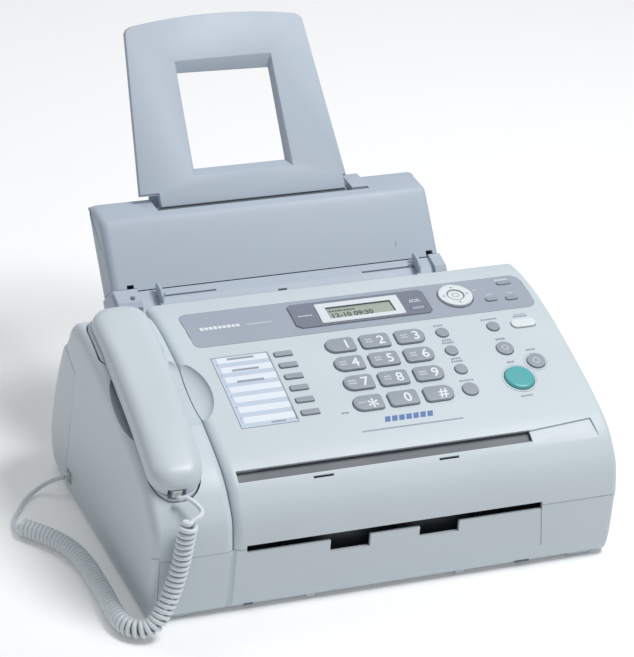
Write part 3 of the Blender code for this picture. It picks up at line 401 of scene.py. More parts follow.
# ---------------------------------------------------------------- camera
AZIMUTH, ELEVATION, ROLL = math.radians(-24.24), math.radians(28.93), math.radians(5.16)
TARGET = point(-2.37, 31.8, 150.69)
back = Vector((math.sin(AZIMUTH) * math.cos(ELEVATION), -math.cos(AZIMUTH) * math.cos(ELEVATION), math.sin(ELEVATION)))
right = (-back).cross(Vector((0, 0, 1))).normalized()
up = right.cross(-back)
cam_x = math.cos(ROLL) * right + math.sin(ROLL) * up
cam_y = -math.sin(ROLL) * right + math.cos(ROLL) * up
cam_data = bpy.data.cameras.new("camera")
cam_data.sensor_width = 36.0
cam_data.lens = 3168.1 / 657 * 36.0
cam_data.clip_start = 0.05
cam_data.clip_end = 100.0
camera = bpy.data.objects.new("camera", cam_data)
placed = Matrix((cam_x, cam_y, back)).transposed().to_4x4()
placed.translation = TARGET + back * 2.7883
camera.matrix_world = placed
bpy.context.scene.collection.objects.link(camera)
bpy.context.scene.camera = camera


# ---------------------------------------------------------------- materials
def plastic(name, color, roughness=0.5, grain=0.10, grain_scale=1500.0, variation=0.035, coat=0.0, sub=0.0, edge=0.0007, specular=0.5):
    """Moulded plastic: fine moulded grain, slight colour and gloss variation, and softened edges."""
    m = bpy.data.materials.new(name)
    m.use_nodes = True
    nt = m.node_tree
    bsdf = nt.nodes["Principled BSDF"]
    bsdf.inputs["Specular IOR Level"].default_value = specular
    if coat:
        bsdf.inputs["Coat Weight"].default_value = coat
        bsdf.inputs["Coat Roughness"].default_value = 0.12
    if sub:
        bsdf.inputs["Subsurface Weight"].default_value = sub
        bsdf.inputs["Subsurface Radius"].default_value = (0.004, 0.004, 0.004)
        bsdf.inputs["Subsurface Scale"].default_value = 0.6
    coords = nt.nodes.new("ShaderNodeTexCoord")
    broad = nt.nodes.new("ShaderNodeTexNoise")
    broad.inputs["Scale"].default_value = 14.0
    broad.inputs["Detail"].default_value = 5.0
    nt.links.new(coords.outputs["Object"], broad.inputs["Vector"])
    ramp = nt.nodes.new("ShaderNodeMix")
    ramp.data_type = "RGBA"
    lo = [max(0.0, c * (1 - variation)) for c in color]
    hi = [min(1.0, c * (1 + variation)) for c in color]
    ramp.inputs["A"].default_value = (*lo, 1)
    ramp.inputs["B"].default_value = (*hi, 1)
    nt.links.new(broad.outputs["Fac"], ramp.inputs["Factor"])
    nt.links.new(ramp.outputs["Result"], bsdf.inputs["Base Color"])
    fine = nt.nodes.new("ShaderNodeTexNoise")
    fine.inputs["Scale"].default_value = grain_scale
    fine.inputs["Detail"].default_value = 3.0
    fine.inputs["Roughness"].default_value = 0.6
    nt.links.new(coords.outputs["Object"], fine.inputs["Vector"])
    gloss = nt.nodes.new("ShaderNodeMapRange")
    gloss.inputs["From Min"].default_value = 0.3
    gloss.inputs["From Max"].default_value = 0.7
    gloss.inputs["To Min"].default_value = max(0.02, roughness - 0.05)
    gloss.inputs["To Max"].default_value = min(1.0, roughness + 0.06)
    nt.links.new(broad.outputs["Fac"], gloss.inputs["Value"])
    nt.links.new(gloss.outputs["Result"], bsdf.inputs["Roughness"])
    bump = nt.nodes.new("ShaderNodeBump")
    bump.inputs["Strength"].default_value = grain
    bump.inputs["Distance"].default_value = 0.0001
    nt.links.new(fine.outputs["Fac"], bump.inputs["Height"])
    if edge:
        soft = nt.nodes.new("ShaderNodeBevel")
        soft.samples = 4
        soft.inputs["Radius"].default_value = edge
        nt.links.new(soft.outputs["Normal"], bump.inputs["Normal"])
    nt.links.new(bump.outputs["Normal"], bsdf.inputs["Normal"])
    return m


CASE = plastic("look_case", (0.575, 0.64, 0.682), 0.46)
LOWER = plastic("look_lower_case", (0.565, 0.63, 0.672), 0.46)
TRAY = plastic("look_tray", (0.42, 0.48, 0.56), 0.50)
BAND = plastic("look_band", (0.355, 0.395, 0.465), 0.42)
WINDOW = plastic("look_window", (0.20, 0.22, 0.275), 0.30, grain=0.03)
BEZEL = plastic("look_bezel", (0.70, 0.74, 0.78), 0.38, grain=0.05)
KEY = plastic("look_key", (0.315, 0.355, 0.40), 0.40, edge=0.0)
# joint colour: painted shade in the joints round the band, the window and the navigation ring
JOINT_SHADE = plastic("look_joint_shade", (0.17, 0.19, 0.23), 0.5, grain=0.02, edge=0.0)
WHITE_KEY = plastic("look_pale_key", (0.72, 0.77, 0.79), 0.36, edge=0.0)
TEAL = plastic("look_start_key", (0.10, 0.42, 0.44), 0.30, grain=0.04, edge=0.0)
HANDSET = plastic("look_handset", (0.575, 0.64, 0.682), 0.38, grain=0.07)
CORD = plastic("look_cord", (0.70, 0.75, 0.78), 0.36, grain=0.05, edge=0.0, sub=0.1)
PLUG = plastic("look_plug", (0.62, 0.66, 0.67), 0.18, grain=0.02, coat=0.4)
DARK = plastic("look_dark", (0.030, 0.033, 0.038), 0.45)
RUBBER = plastic("look_rubber", (0.035, 0.035, 0.038), 0.80, grain=0.35, grain_scale=900.0)
BOARD = plastic("look_board", (0.03, 0.16, 0.08), 0.40)
INK = plastic("look_ink", (0.76, 0.80, 0.83), 0.55, grain=0.02, edge=0.0)
GREYINK = plastic("look_grey_ink", (0.26, 0.30, 0.36), 0.55, grain=0.02, edge=0.0)
SHADE = plastic("look_shade", (0.13, 0.155, 0.185), 0.6, grain=0.05, edge=0.0)
# slot colours: painted shade inside the document slot and the paper exit
SLOT_SHADE = plastic("look_slot_shade", (0.12, 0.135, 0.155), 0.5, grain=0.05, edge=0.0)
SLOT_DARK_SHADE = plastic("look_slot_dark_shade", (0.045, 0.058, 0.068), 0.5, grain=0.05, edge=0.0)
PALEINK = plastic("look_pale_ink", (0.62, 0.66, 0.71), 0.55, grain=0.02, edge=0.0)
BLUEINK = plastic("look_blue_ink", (0.10, 0.19, 0.42), 0.5, grain=0.02, edge=0.0)
LCDINK = plastic("look_lcd_ink", (0.10, 0.12, 0.11), 0.4, grain=0.0, edge=0.0)
CARDWHITE = plastic("look_card_white", (0.78, 0.83, 0.90), 0.35, grain=0.02, coat=0.3, edge=0.0)
CARDGREY = plastic("look_card_grey", (0.30, 0.34, 0.40), 0.5, grain=0.02, edge=0.0)
TRAYLINE = plastic("look_tray_line", (0.26, 0.30, 0.37), 0.55, grain=0.02, edge=0.0)
BRASS = plastic("look_brass", (0.62, 0.47, 0.20), 0.3, grain=0.02, edge=0.0)
BRASS.node_tree.nodes["Principled BSDF"].inputs["Metallic"].default_value = 1.0


def glass_look():
    """Liquid crystal glass: a reflective grey-green film under a clear cover."""
    m = bpy.data.materials.new("look_lcd")
    m.use_nodes = True
    nt = m.node_tree
    bsdf = nt.nodes["Principled BSDF"]
    bsdf.inputs["Roughness"].default_value = 0.16
    bsdf.inputs["Coat Weight"].default_value = 0.6
    bsdf.inputs["Coat Roughness"].default_value = 0.04
    coords = nt.nodes.new("ShaderNodeTexCoord")
    broad = nt.nodes.new("ShaderNodeTexNoise")
    broad.inputs["Scale"].default_value = 22.0
    nt.links.new(coords.outputs["Object"], broad.inputs["Vector"])
    mix = nt.nodes.new("ShaderNodeMix")
    mix.data_type = "RGBA"
    mix.inputs["A"].default_value = (0.36, 0.415, 0.36, 1)
    mix.inputs["B"].default_value = (0.43, 0.48, 0.42, 1)
    nt.links.new(broad.outputs["Fac"], mix.inputs["Factor"])
    nt.links.new(mix.outputs["Result"], bsdf.inputs["Base Color"])
    return m


GLASS = glass_look()
CARD = plastic("look_card", (0.55, 0.635, 0.75), 0.30, grain=0.03, coat=0.3)

# ---------------------------------------------------------------- handset cord
COIL_ROUTE = [
    (-188.1, -164.6, 101.9), (-189.9, -164.8, 94.0), (-191.5, -165.0, 83.4), (-193.4, -165.6, 69.0), (-196.4, -166.4, 54.8), (-200.3, -167.6, 41.0),
    (-204.2, -169.0, 31.0), (-209.4, -170.6, 20.6), (-215.4, -171.8, 11.8), (-222.5, -171.2, 6.4), (-231.5, -166.6, 4.6), (-238.0, -156.0, 4.3),
    (-239.8, -137.0, 4.3), (-239.2, -112.6, 4.3), (-239.4, -90.6, 4.3), (-240.0, -68.8, 4.3), (-242.6, -48.7, 4.3), (-247.4, -32.5, 4.3),
    (-255.5, -18.0, 4.3), (-264.8, -6.0, 4.3), (-277.5, 8.6, 4.3),
]

PLUG_T = hand_arc(HAND_FRONT) + 4.0  # middle of the plug and of the lead that leaves it
LEAD_HAND = [
    (JACK_X, *hand_yz(HAND_FRONT - 1.6, PLUG_T)), (JACK_X + 0.6, *hand_yz(HAND_FRONT - 4.2, PLUG_T)), (-185.4, -142.4, 111.0), (-180.4, -147.4, 109.2),
    (-176.4, -152.4, 106.2), (-175.4, -157.4, 104.6), (-177.4, -161.4, 103.9), (-180.4, -163.2, 103.6), (-181.9, -163.6, 102.2),
]

BASE_PLUG_END = (-219.7, 63.2, 11.7)
LEAD_BASE = [
    (-278.3, 9.6, 0.2), (-279.7, 13.4, -0.8), (-279.0, 20.0, -1.8), (-275.4, 28.6, -2.1), (-269.8, 37.8, -2.1), (-258.5, 54.1, -2.1),
    (-247.3, 64.4, -0.8), (-235.8, 67.6, 4.0), (-228.0, 64.4, 9.4), (-222.6, 63.4, 11.4), BASE_PLUG_END,
]

COIL_MEAN = 6.1
WIRE_SHOWN = 4.1


def arc_length(points):
    return np.concatenate([[0], np.cumsum(np.linalg.norm(np.diff(points, axis=0), axis=1))])


def helix(points, pitch, radius, ends=1.0):
    """Helix round a centreline. pitch is a function of how far along the point is; the radius grows from nothing over the first and last turn."""
    points = np.array(points, float)
    run = arc_length(points)
    tangents = np.gradient(points, axis=0)
    tangents /= np.linalg.norm(tangents, axis=1)[:, None]
    normal = np.cross(tangents[0], (0.0, 1.0, 0.0))
    normal /= np.linalg.norm(normal)
    normals = []
    for t in tangents:
        normal = normal - t * normal.dot(t)
        normal /= np.linalg.norm(normal)
        normals.append(normal.copy())
    normals = np.array(normals)
    out, s, turns = [], 0.0, 0.0
    per_turn = 18
    states = []
    while s < run[-1]:
        states.append((s, turns))
        s += pitch(s) / per_turn
        turns += 1 / per_turn
    total = states[-1][1]
    for s, turn in states:
        c = np.array([np.interp(s, run, points[:, k]) for k in range(3)])
        t = np.array([np.interp(s, run, tangents[:, k]) for k in range(3)])
        t /= np.linalg.norm(t)
        n = np.array([np.interp(s, run, normals[:, k]) for k in range(3)])
        n = n - t * n.dot(t)
        n /= np.linalg.norm(n)
        b = np.cross(t, n)
        u = min(1.0, turn / ends, (total - turn) / ends)
        r = radius * math.sin(0.5 * math.pi * max(0.0, u)) ** 1.0
        a = 2 * math.pi * turn
        out.append(c + r * (math.cos(a) * n + math.sin(a) * b))
    return out


def sweep(name, points, diameter, made_of, sides=12):
    """Closed tube along points given in the drawing frame."""
    pts = [point(*p) for p in points]
    bm = bmesh.new()
    rings = []
    normal = None
    for i, p in enumerate(pts):
        a = pts[max(0, i - 1)]
        b = pts[min(len(pts) - 1, i + 1)]
        t = (b - a).normalized()
        if normal is None:
            normal = t.orthogonal().normalized()
        normal = (normal - t * normal.dot(t)).normalized()
        side = t.cross(normal)
        rings.append([bm.verts.new(p + (normal * math.cos(2 * math.pi * k / sides) + side * math.sin(2 * math.pi * k / sides)) * diameter / 2 * MM) for k in range(sides)])
    for a, b in zip(rings, rings[1:]):
        for k in range(sides):
            j = (k + 1) % sides
            bm.faces.new((a[k], a[j], b[j], b[k]))
    bm.faces.new(list(reversed(rings[0])))
    bm.faces.new(rings[-1])
    mesh = mesh_from(name, bm)
    obj = bpy.data.objects.new("v_" + name, mesh)
    PARTS.objects.link(obj)
    mesh.materials.append(made_of)
    mesh.shade_smooth()
    return obj, [tuple(p) for p in pts]


coil_line = route(COIL_ROUTE, 2.0)
coil_run = arc_length(np.array(coil_line, float))
HANG = 118.0  # how much of the coil hangs, in millimetres of its length


def pitch_at(s):
    u = max(0.0, min(1.0, (s - (HANG - 14.0)) / 28.0))
    u = u * u * (3 - 2 * u)
    return 5.1 * (1 - u) + 4.25 * u


coil_points = helix(coil_line, pitch_at, COIL_MEAN)
lead_h = route(LEAD_HAND, 1.6)
lead_b = route(LEAD_BASE, 2.5)
joined = [tuple(p) for p in lead_h] + [tuple(p) for p in coil_points] + [tuple(p) for p in lead_b]
smoothed = np.array(joined, float)
first = len(lead_h)
second = len(lead_h) + len(coil_points)
for _ in range(6):
    for where in (first, second):
        lo_i, hi_i = max(1, where - 6), min(len(smoothed) - 1, where + 7)
        smoothed[lo_i:hi_i] = (smoothed[lo_i - 1 : hi_i - 1] + 2 * smoothed[lo_i:hi_i] + smoothed[lo_i + 1 : hi_i + 1]) / 4
keep_points = [smoothed[0]]
for p in smoothed[1:]:
    if np.linalg.norm(p - keep_points[-1]) > 0.5:
        keep_points.append(p)
keep_points = list(reversed(keep_points))
cord, cord_path = sweep("handset_cord", keep_points, WIRE_SHOWN, CORD)
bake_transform(cord)
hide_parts("cord_coil", "cord_lead_handset", "cord_lead_base")

# ---------------------------------------------------------------- lower case
lower_profile = [(-150.0, 0.0), (-152.6, 5.0), (-154.3, 15.0), (-155.0, 30.0), (CASE_FRONT, SEAM_Z - GAP), (66.4, SEAM_Z - GAP), (73.4, 18.0), (75.6, 0.0)]
lower_case = rounded_prism(
    "lower_case", lower_profile, PANEL_LEFT + GAP, CASE_RIGHT, (0, 0), (6, 6),
    {0: (1, 0), 4: (1, 0), 5: (0, 0), 6: (0, 0), 7: (0, 0)}, LOWER, steps=2,
)


def lower_cuts(bm):
    add_profile(bm, [(-146.5, 3.0), (-151.2, 15.0), (-152.0, 30.0), (-152.0, 70.0), (62.0, 70.0), (70.4, 18.0), (72.0, 3.0)], PANEL_LEFT + 2.8, CASE_RIGHT - 3.2)


def front_cuts(bm):
    add_box(bm, (-131.8, -162, 55.2), (141.0, -140, 64))


def notch_cuts(bm):
    add_box(bm, (-56.0, -163, 44.0), (-19.5, -139, 61))
    add_box(bm, (26.0, -163, 45.4), (63.0, -139, 61))


def jack_cut(bm):
    add_box(bm, (-220, 57.0, 6.5), (-208, 69.5, 17.5))


def cord_recess(bm):
    add_box(bm, (-214, 55.5, 5.0), (-205, 71.0, 19.0))


def feet(bm):
    for x0, y0 in ((-197, -148), (176, -148), (-197, 48), (176, 48)):
        add_box(bm, (x0, y0, -4.0), (x0 + 22, y0 + 16, 1.5))
    for x0 in (-71.5, 68.0):
        add_box(bm, (x0, -149.4, -3.4), (x0 + 8, -143.5, 1.5))


def front_recess(bm):
    """Thin line down the front at the right end of the paper exit."""
    low = [bm.verts.new(point(x, -160.0, z)) for x, z in ((139.2, 61.0), (140.3, 61.0), (145.6, 17.0), (144.5, 17.0))]
    high = [bm.verts.new(point(x, -153.5, z)) for x, z in ((139.5, 61.0), (140.0, 61.0), (145.3, 17.0), (144.8, 17.0))]
    bm.faces.new(low)
    bm.faces.new(list(reversed(high)))
    for k in range(4):
        n = (k + 1) % 4
        bm.faces.new((low[k], high[k], high[n], low[n]))


def corner_groove(bm):
    side = 1.6
    line = [(-150.6, -6.0), (-154.0, 5.0), (-155.9, 15.0), (-156.7, 30.0), (-156.9, 75.0)]
    rings = []
    for y, z in line:
        rings.append([bm.verts.new(point(-143.5 + 3.0 * math.cos(2 * math.pi * k / 16), y + 3.4 * math.sin(2 * math.pi * k / 16), z)) for k in range(16)])
    for a, b in zip(rings, rings[1:]):
        for k in range(16):
            j = (k + 1) % 16
            bm.faces.new((a[k], a[j], b[j], b[k]))
    bm.faces.new(list(reversed(rings[0])))
    bm.faces.new(rings[-1])


boolean(lower_case, cutter("front_recess", front_recess))
boolean(lower_case, cutter("corner_groove", corner_groove))
boolean(lower_case, cutter("lower_feet", feet), "UNION")
boolean(lower_case, cutter("lower_hollow", lower_cuts))
boolean(lower_case, cutter("paper_exit_opening", front_cuts))
boolean(lower_case, cutter("front_notches", notch_cuts))
boolean(lower_case, cutter("handset_cord_recess", cord_recess))

# ---------------------------------------------------------------- rear cover
rear_profile = [
    (76.0, 0.2), (104.0, 0.2), (112.0, 4.0), (116.5, 12.0), (120.6, 28.0), (120.4, 45.0), (116.0, 69.0), (108.0, 98.0), (97.5, 126.0),
    (92.5, 130.6), (88.6, 130.6), (60.2, 118.4), (67.2, 57.0), (73.9, 18.0),
]
rear_cover = rounded_prism(
    "rear_cover", rear_profile, CASE_LEFT, CASE_RIGHT, (5, 5), (5, 5),
    {0: (0, 0), 9: (0, -1), 10: (0, -1), 11: (0, -0.4), 12: (0, 0), 13: (0, 0)}, CASE, steps=2,
)


def rear_hollow(bm):
    add_profile(
        bm,
        [(50.0, 5.0), (103.0, 3.4), (110.0, 7.0), (113.4, 13.0), (117.4, 28.0), (117.2, 45.0), (113.0, 68.0), (105.0, 97.0), (95.6, 122.0), (91.0, 127.2), (64.0, 116.0), (50.0, 110.0)],
        CASE_LEFT + 3.2, CASE_RIGHT - 3.2,
    )


def rear_sockets(bm):
    add_box(bm, (150, 112, 22), (178, 130, 42))  # mains inlet
    add_box(bm, (96, 110, 24), (109, 130, 36))  # line jack
    add_box(bm, (74, 110, 24), (87, 130, 36))  # telephone jack


boolean(rear_cover, cutter("rear_cover_hollow", rear_hollow))
boolean(rear_cover, cutter("rear_socket_openings", rear_sockets))

# ---------------------------------------------------------------- handset cradle
cradle_y = [-155.0, -154.2, -151.5, -147.0, -140.0, -130.0, -117.0, -100.0, -77.0, -50.0, -22.0, 0.0, 33.0, 55.0, 68.0, 78.0, 86.0]
cradle_z = [SEAM_Z, 74.0, 84.5, 91.5, 99.5, 108.8, 117.0, 124.2, 132.2, 140.3, 148.0, 153.6, 160.0, 162.5, 161.5, 158.0, 150.5]
cradle_profile = list(zip(cradle_y, cradle_z)) + [(91.0, 131.2), (88.4, 131.2), (59.9, 118.9), (66.4, SEAM_Z)]
cradle = rounded_prism(
    "handset_cradle", cradle_profile, CASE_LEFT, CRADLE_RIGHT, (8, 13), (8, 6),
    {0: (0.5, 0), 17: (-0.4, 0), 18: (0, 0), 19: (0, 0), 20: (0, 0)}, CASE, steps=3,
)


def hand_point(x, s, t):
    c, k = math.cos(HAND_SLOPE), math.sin(HAND_SLOPE)
    return point(x, HAND_Y + c * s - k * t, HAND_Z + k * s + c * t)


def hand_arc(s):
    return -0.4 - 0.00095 * (s + 20.0) ** 2


def hand_x(s):
    """Middle of the handset, which lies at a slight angle in its cradle."""
    return HAND_X - 0.6 + 0.042 * s


def ear_step(s):
    """0 along the grip, 1 at the ear end, where the earpiece stands proud of the grip."""
    u = max(0.0, min(1.0, (s - 34.0) / 12.0))
    return u * u * (3 - 2 * u)


def hand_seam(s):
    """Height of the seam between the two shells over the arc."""
    return 1.2 + 2.8 * ear_step(s)


def hand_half(s, front, rear, extra=0.0):
    """Half width with rounded ends."""
    half = HAND_HALF - 1.9 * max(0.0, min(1.0, -s / 100.0)) + extra
    inside = min(s - front, rear - s)
    if inside < 22.0:
        half = half - 19.0 + 19.0 * math.sqrt(max(0.0, 1 - ((22.0 - inside) / 22.0) ** 2))
    return half


def lower_extra(s):
    """The lower shell is narrower than the upper one along the grip and wider at the ear."""
    return -2.0 + 4.6 * ear_step(s)


def hand_depth(s):
    """How far the underside lies below the arc: deep at the ear and mouth ends, shallow at the grip."""
    ear = 1.0 / (1.0 + math.exp(-(s - 58.0) / 3.0))
    mouth = 1.0 / (1.0 + math.exp((s + 64.0) / 3.0))
    return 4.0 + 10.0 * max(ear, mouth)


def pocket(bm):
    """Space for the lower shell: its own outline grown by 1 mm, opened upwards."""
    front, rear = HAND_FRONT - 1.0, HAND_REAR + 1.0
    stations = [front, front + 0.4, front + 1.2, front + 2.2] + [float(v) for v in np.arange(front + 3.5, rear - 3.5, 2.5)] + [rear - 3.2, rear - 2.2, rear - 1.2, rear - 0.4, rear]
    rings = []
    for s in stations:
        w = hand_half(s, front, rear, lower_extra(s) + 1.0)
        x = hand_x(s)
        floor = hand_arc(s) - hand_depth(s) - 1.2
        rings.append([hand_point(x - w, s, 45), hand_point(x - w, s, floor + 3), hand_point(x - w + 3, s, floor), hand_point(x + w - 3, s, floor), hand_point(x + w, s, floor + 3), hand_point(x + w, s, 45)])
    rows = [[bm.verts.new(p) for p in ring] for ring in rings]
    for a, b in zip(rows, rows[1:]):
        for i in range(6):
            j = (i + 1) % 6
            bm.faces.new((a[i], a[j], b[j], b[i]))
    bm.faces.new(rows[0])
    bm.faces.new(list(reversed(rows[-1])))


def cradle_hollow(bm):
    top = [(y, z - 34.0) for y, z in zip(cradle_y, cradle_z) if -140 < y < 60]
    add_profile(bm, [(-151.5, 50.0), (-150.8, 66.0), (-146.0, 72.0)] + top + [(58.0, 122.0), (57.0, 114.0), (63.5, 50.0)], CASE_LEFT + 3.2, CRADLE_RIGHT - 3.0)


def scoop(name, x, y, rx, ry, rz):
    """Bowl sunk into the panel beside the handset."""
    place = Matrix.Translation(point(x, y, panel_z(y) + 1.0)) @ Matrix.Rotation(math.atan(panel_slope(y, 40)), 4, "X")
    size = Matrix.Diagonal((rx * MM, ry * MM, rz * MM, 1))
    return cutter(name, lambda bm: bmesh.ops.create_uvsphere(bm, u_segments=72, v_segments=36, radius=1.0, matrix=place @ size))


def hook_hole(bm):
    add_outline(bm, rounded(7.0, 12.0, 2.0, 2), hand_frame(HAND_X, 40.0, -40.0), 0.0, 60.0)


def hand_frame(x, s, t):
    c, k = math.cos(HAND_SLOPE), math.sin(HAND_SLOPE)
    frame = Matrix(((1, 0, 0), (0, c, -k), (0, k, c))).to_4x4()
    frame.translation = hand_point(x, s, t)
    return frame


scoop_left = scoop("scoop_left", -186.0, -46.0, 31.0, 52.0, 15.0)
scoop_right = scoop("scoop_right", -153.0, -35.0, 27.0, 39.0, 11.0)
side_profile = [(-150.0, 0.0), (-152.6, 5.0), (-154.3, 15.0), (-155.0, 30.0), (CASE_FRONT, SEAM_Z), (-155.0, 62.0), (40.0, 90.0), (62.8, 90.0), (66.3, SEAM_Z), (73.4, 18.0), (75.6, 0.0)]
side_panel = rounded_prism(
    "cradle_side_panel", side_profile, CASE_LEFT, PANEL_LEFT, (6, 6), (0, 0),
    {0: (1, 0), 5: (1, -0.3), 6: (0, 0), 7: (0, 0), 8: (0, 0), 9: (0, 0), 10: (0, 0)}, CASE, steps=3,
)
CUTTERS.objects.link(side_panel)
PARTS.objects.unlink(side_panel)
side_panel.hide_render = True
side_panel.display_type = "WIRE"
boolean(cradle, side_panel, "UNION")
boolean(cradle, cutter("line_jack_recess", jack_cut))
boolean(cradle, cutter("handset_pocket", pocket))
boolean(cradle, scoop_left)
boolean(cradle, scoop_right)
boolean(cradle, cutter("hook_hole", hook_hole))

# ---------------------------------------------------------------- top cover
panel_y = list(PANEL_Y)
cover_profile = [(-154.9, SEAM_Z + 0.1)] + [(y, z) for y, z in list(zip(PANEL_Y, PANEL_Z))[1:]] + [(COVER_REAR, 131.6), (59.3, 119.2), (66.3, SEAM_Z + 0.1)]
last = len(cover_profile)
cover = rounded_prism(
    "top_cover", cover_profile, COVER_LEFT, CASE_RIGHT, (8, 5.5), (6, 6),
    {0: (0.6, 0), last - 4: (-0.3, -0.8), last - 3: (0, 0), last - 2: (0, 0), last - 1: (0, 0)}, CASE, steps=3,
)


def cover_hollow(bm):
    under = [(-151.6, 40.0), (-151.4, 74.0), (-148.4, 83.0), (-144.6, 89.5), (-137.8, 97.8), (-128.3, 106.7), (-115.7, 114.4), (-98.8, 121.5), (-76.2, 129.5), (-49.3, 137.5), (-21.3, 145.0), (0.7, 150.4), (33.4, 156.2), (50.0, 157.9), (70.0, 158.4), (85.6, 157.0)]
    add_profile(bm, under + [(85.6, 134.0), (56.0, 121.5), (58.0, 117.5), (80.0, 110.0), (80.0, 40.0)], -112.0, CASE_RIGHT - 3.0)


def cover_side_hollow(bm):
    add_profile(bm, [(-151.4, 40.0), (-151.2, 60.0), (-140.0, 86.0), (-100.0, 108.0), (-10.0, 136.0), (50.0, 146.0), (85.6, 146.0), (85.6, 134.0), (56.0, 121.5), (58.0, 117.5), (80.0, 110.0), (80.0, 40.0)], COVER_LEFT + 3.0, -111.0)


def exit_slot(bm):
    """Document exit: a slot through the panel. The shallow landing at its right end is cut by exit_landing."""
    frame = panel_frame(2.0, -125.8)
    add_outline(bm, rounded(271.4, 10.8, 0.4, 1), frame, -9.0, 12.0)


def exit_landing(bm):
    frame = panel_frame(170.0, -127.0) @ Matrix.Translation((0.0, 0.0, -1.0 * MM)) @ Matrix.Rotation(math.radians(-6.6), 4, "X")
    add_outline(bm, [(-32.5, -10.4), (30.5, -10.4), (27.6, 10.2), (26.4, 10.6), (-31.5, 6.4), (-32.5, 5.8)], frame, 0.0, 12.0)


def document_mouth(bm):
    add_box(bm, (-112, 80, 146.5), (112, 95, 156.6))


def front_relief(bm):
    add_box(bm, (-131.8, -160, 50), (141.0, -140, 62.0))


def grip_slits(bm):
    for x in (-58.2, 57.4):
        add_outline(bm, rounded(18.5, 2.0, 0.3, 1), panel_frame(x, -133.2), -6.0, 8.0)


def dial_outline(col):
    """Dial key outline: the left column is round at its left end, and the right column at its right end."""
    w, h, found = 27.2 / 2, 16.4 / 2, []
    for cx_sign, cy_sign, start in ((1, 1, 0), (-1, 1, 90), (-1, -1, 180), (1, -1, 270)):
        r = 7.9 if (col == 0 and cx_sign < 0) or (col == 2 and cx_sign > 0) else 3.6
        for i in range(13):
            a = math.radians(start + 90 * i / 12)
            found.append((cx_sign * (w - r) + r * math.cos(a), cy_sign * (h - r) + r * math.sin(a)))
    return found


KEYS = []  # (node, x, y, outline, rise, material)
DIGITS = ("1", "2", "3", "4", "5", "6", "7", "8", "9", "star", "0", "hash")
for i, label in enumerate(DIGITS):
    col, row = i % 3, i // 3
    KEYS.append((f"key_{label}", (4.3, 37.2, 70.6)[col], (-5.2, -27.5, -50.4, -73.6)[row], dial_outline(col), 2.6, KEY))
for i in range(6):
    KEYS.append((f"one_touch_key_{i + 1}", -49.4 - 0.0 * i, (-6.0, -19.6, -33.1, -46.7, -60.5, -74.5)[i], rounded(16.6, 5.6, 1.2, 1), 1.8, KEY))
for name, x, y, r in (("flash_key", 102.0, -5.0, 5.7), ("redial_key", 101.8, -27.4, 5.7), ("mute_key", 101.6, -49.9, 5.7), ("speaker_key", 100.9, -73.2, 7.2)):
    KEYS.append((name, x, y, circle(r, 14), 1.8, KEY))
KEYS.append(("quick_scan_key", 151.4, -5.3, circle(5.7, 14), 1.8, KEY))
KEYS.append(("auto_answer_key", 180.8, -5.9, rounded(23.4, 10.0, 4.9, 3), 2.0, WHITE_KEY))
KEYS.append(("stop_key", 151.2, -32.8, circle(7.8, 14), 1.8, KEY))
KEYS.append(("copy_key", 173.2, -52.0, circle(8.2, 16), 1.8, KEY))
KEYS.append(("start_key", 150.3, -68.0, circle(13.6, 20), 2.6, TEAL))
KEYS.append(("navigation_ring", 134.2, 41.0, circle(15.8, 20), 2.4, WHITE_KEY))
KEYS.append(("display_key", 93.4, 30.8, rounded(13.0, 4.6, 1.0, 1), 1.6, KEY))
KEYS.append(("menu_key", 186.9, 52.4, rounded(13.4, 4.6, 2.0, 2), 1.6, KEY))
KEYS.append(("left_arrow_key", 165.2, 30.7, rounded(11.0, 5.2, 2.4, 2), 1.6, KEY))
KEYS.append(("right_arrow_key", 184.6, 29.2, rounded(11.0, 5.2, 2.4, 2), 1.6, KEY))


def key_holes(bm):
    for name, x, y, outline, rise, made_of in KEYS:
        add_outline(bm, grow(outline, KEY_CLEAR), panel_frame(x, y), -12.0, 8.0)


BAND_OUTLINE = [(-122.6, 20.0), (-121.0, 16.4), (-117.0, 14.6), (196.0, 14.6), (200.6, 16.6), (203.4, 21.0), (204.2, 54.0), (202.6, 60.4), (198.0, 64.2), (-116.0, 64.2), (-120.6, 62.0), (-122.8, 57.6)]


def plate_on_panel(bm, outline, low, high):
    """A sheet that follows the panel between two offsets of the panel line, over the outline's extent; the caller cuts
    the vertical outline from it.
    """
    ys = [y for y in range(-100, 89, 4)]
    y_low, y_high = min(p[1] for p in outline), max(p[1] for p in outline)
    ys = [y_low - 5] + [y for y in ys if y_low - 4 < y < y_high + 4] + [y_high + 5]
    x_low, x_high = min(p[0] for p in outline) - 5, max(p[0] for p in outline) + 5
    lower = [(y, panel_z(y) + low) for y in ys]
    upper = [(y, panel_z(y) + high) for y in reversed(ys)]
    add_profile(bm, lower + upper, x_low, x_high)


def outline_block(bm, outline):
    frame = Matrix.Translation(point(0, 0, 0))
    add_outline(bm, outline, frame, 60.0, 230.0)


def make_plate(name, outline, low, high, made_of):
    sheet_bm = bmesh.new()
    plate_on_panel(sheet_bm, outline, low, high)
    plate = link(name, mesh_from(name, sheet_bm), made_of)
    boolean(plate, cutter(name + "_outline", lambda bm: outline_block(bm, outline)), "INTERSECT")
    return plate


def pocket_on_panel(name, outline, depth):
    """Cutter for the shallow recess that a plate lies in."""
    bm = bmesh.new()
    plate_on_panel(bm, outline, -depth, 20.0)
    recess = link(name, mesh_from(name, bm), None, cutter=True)
    boolean(recess, cutter(name + "_outline", lambda made: outline_block(made, grow(outline, GAP))), "INTERSECT")
    return recess


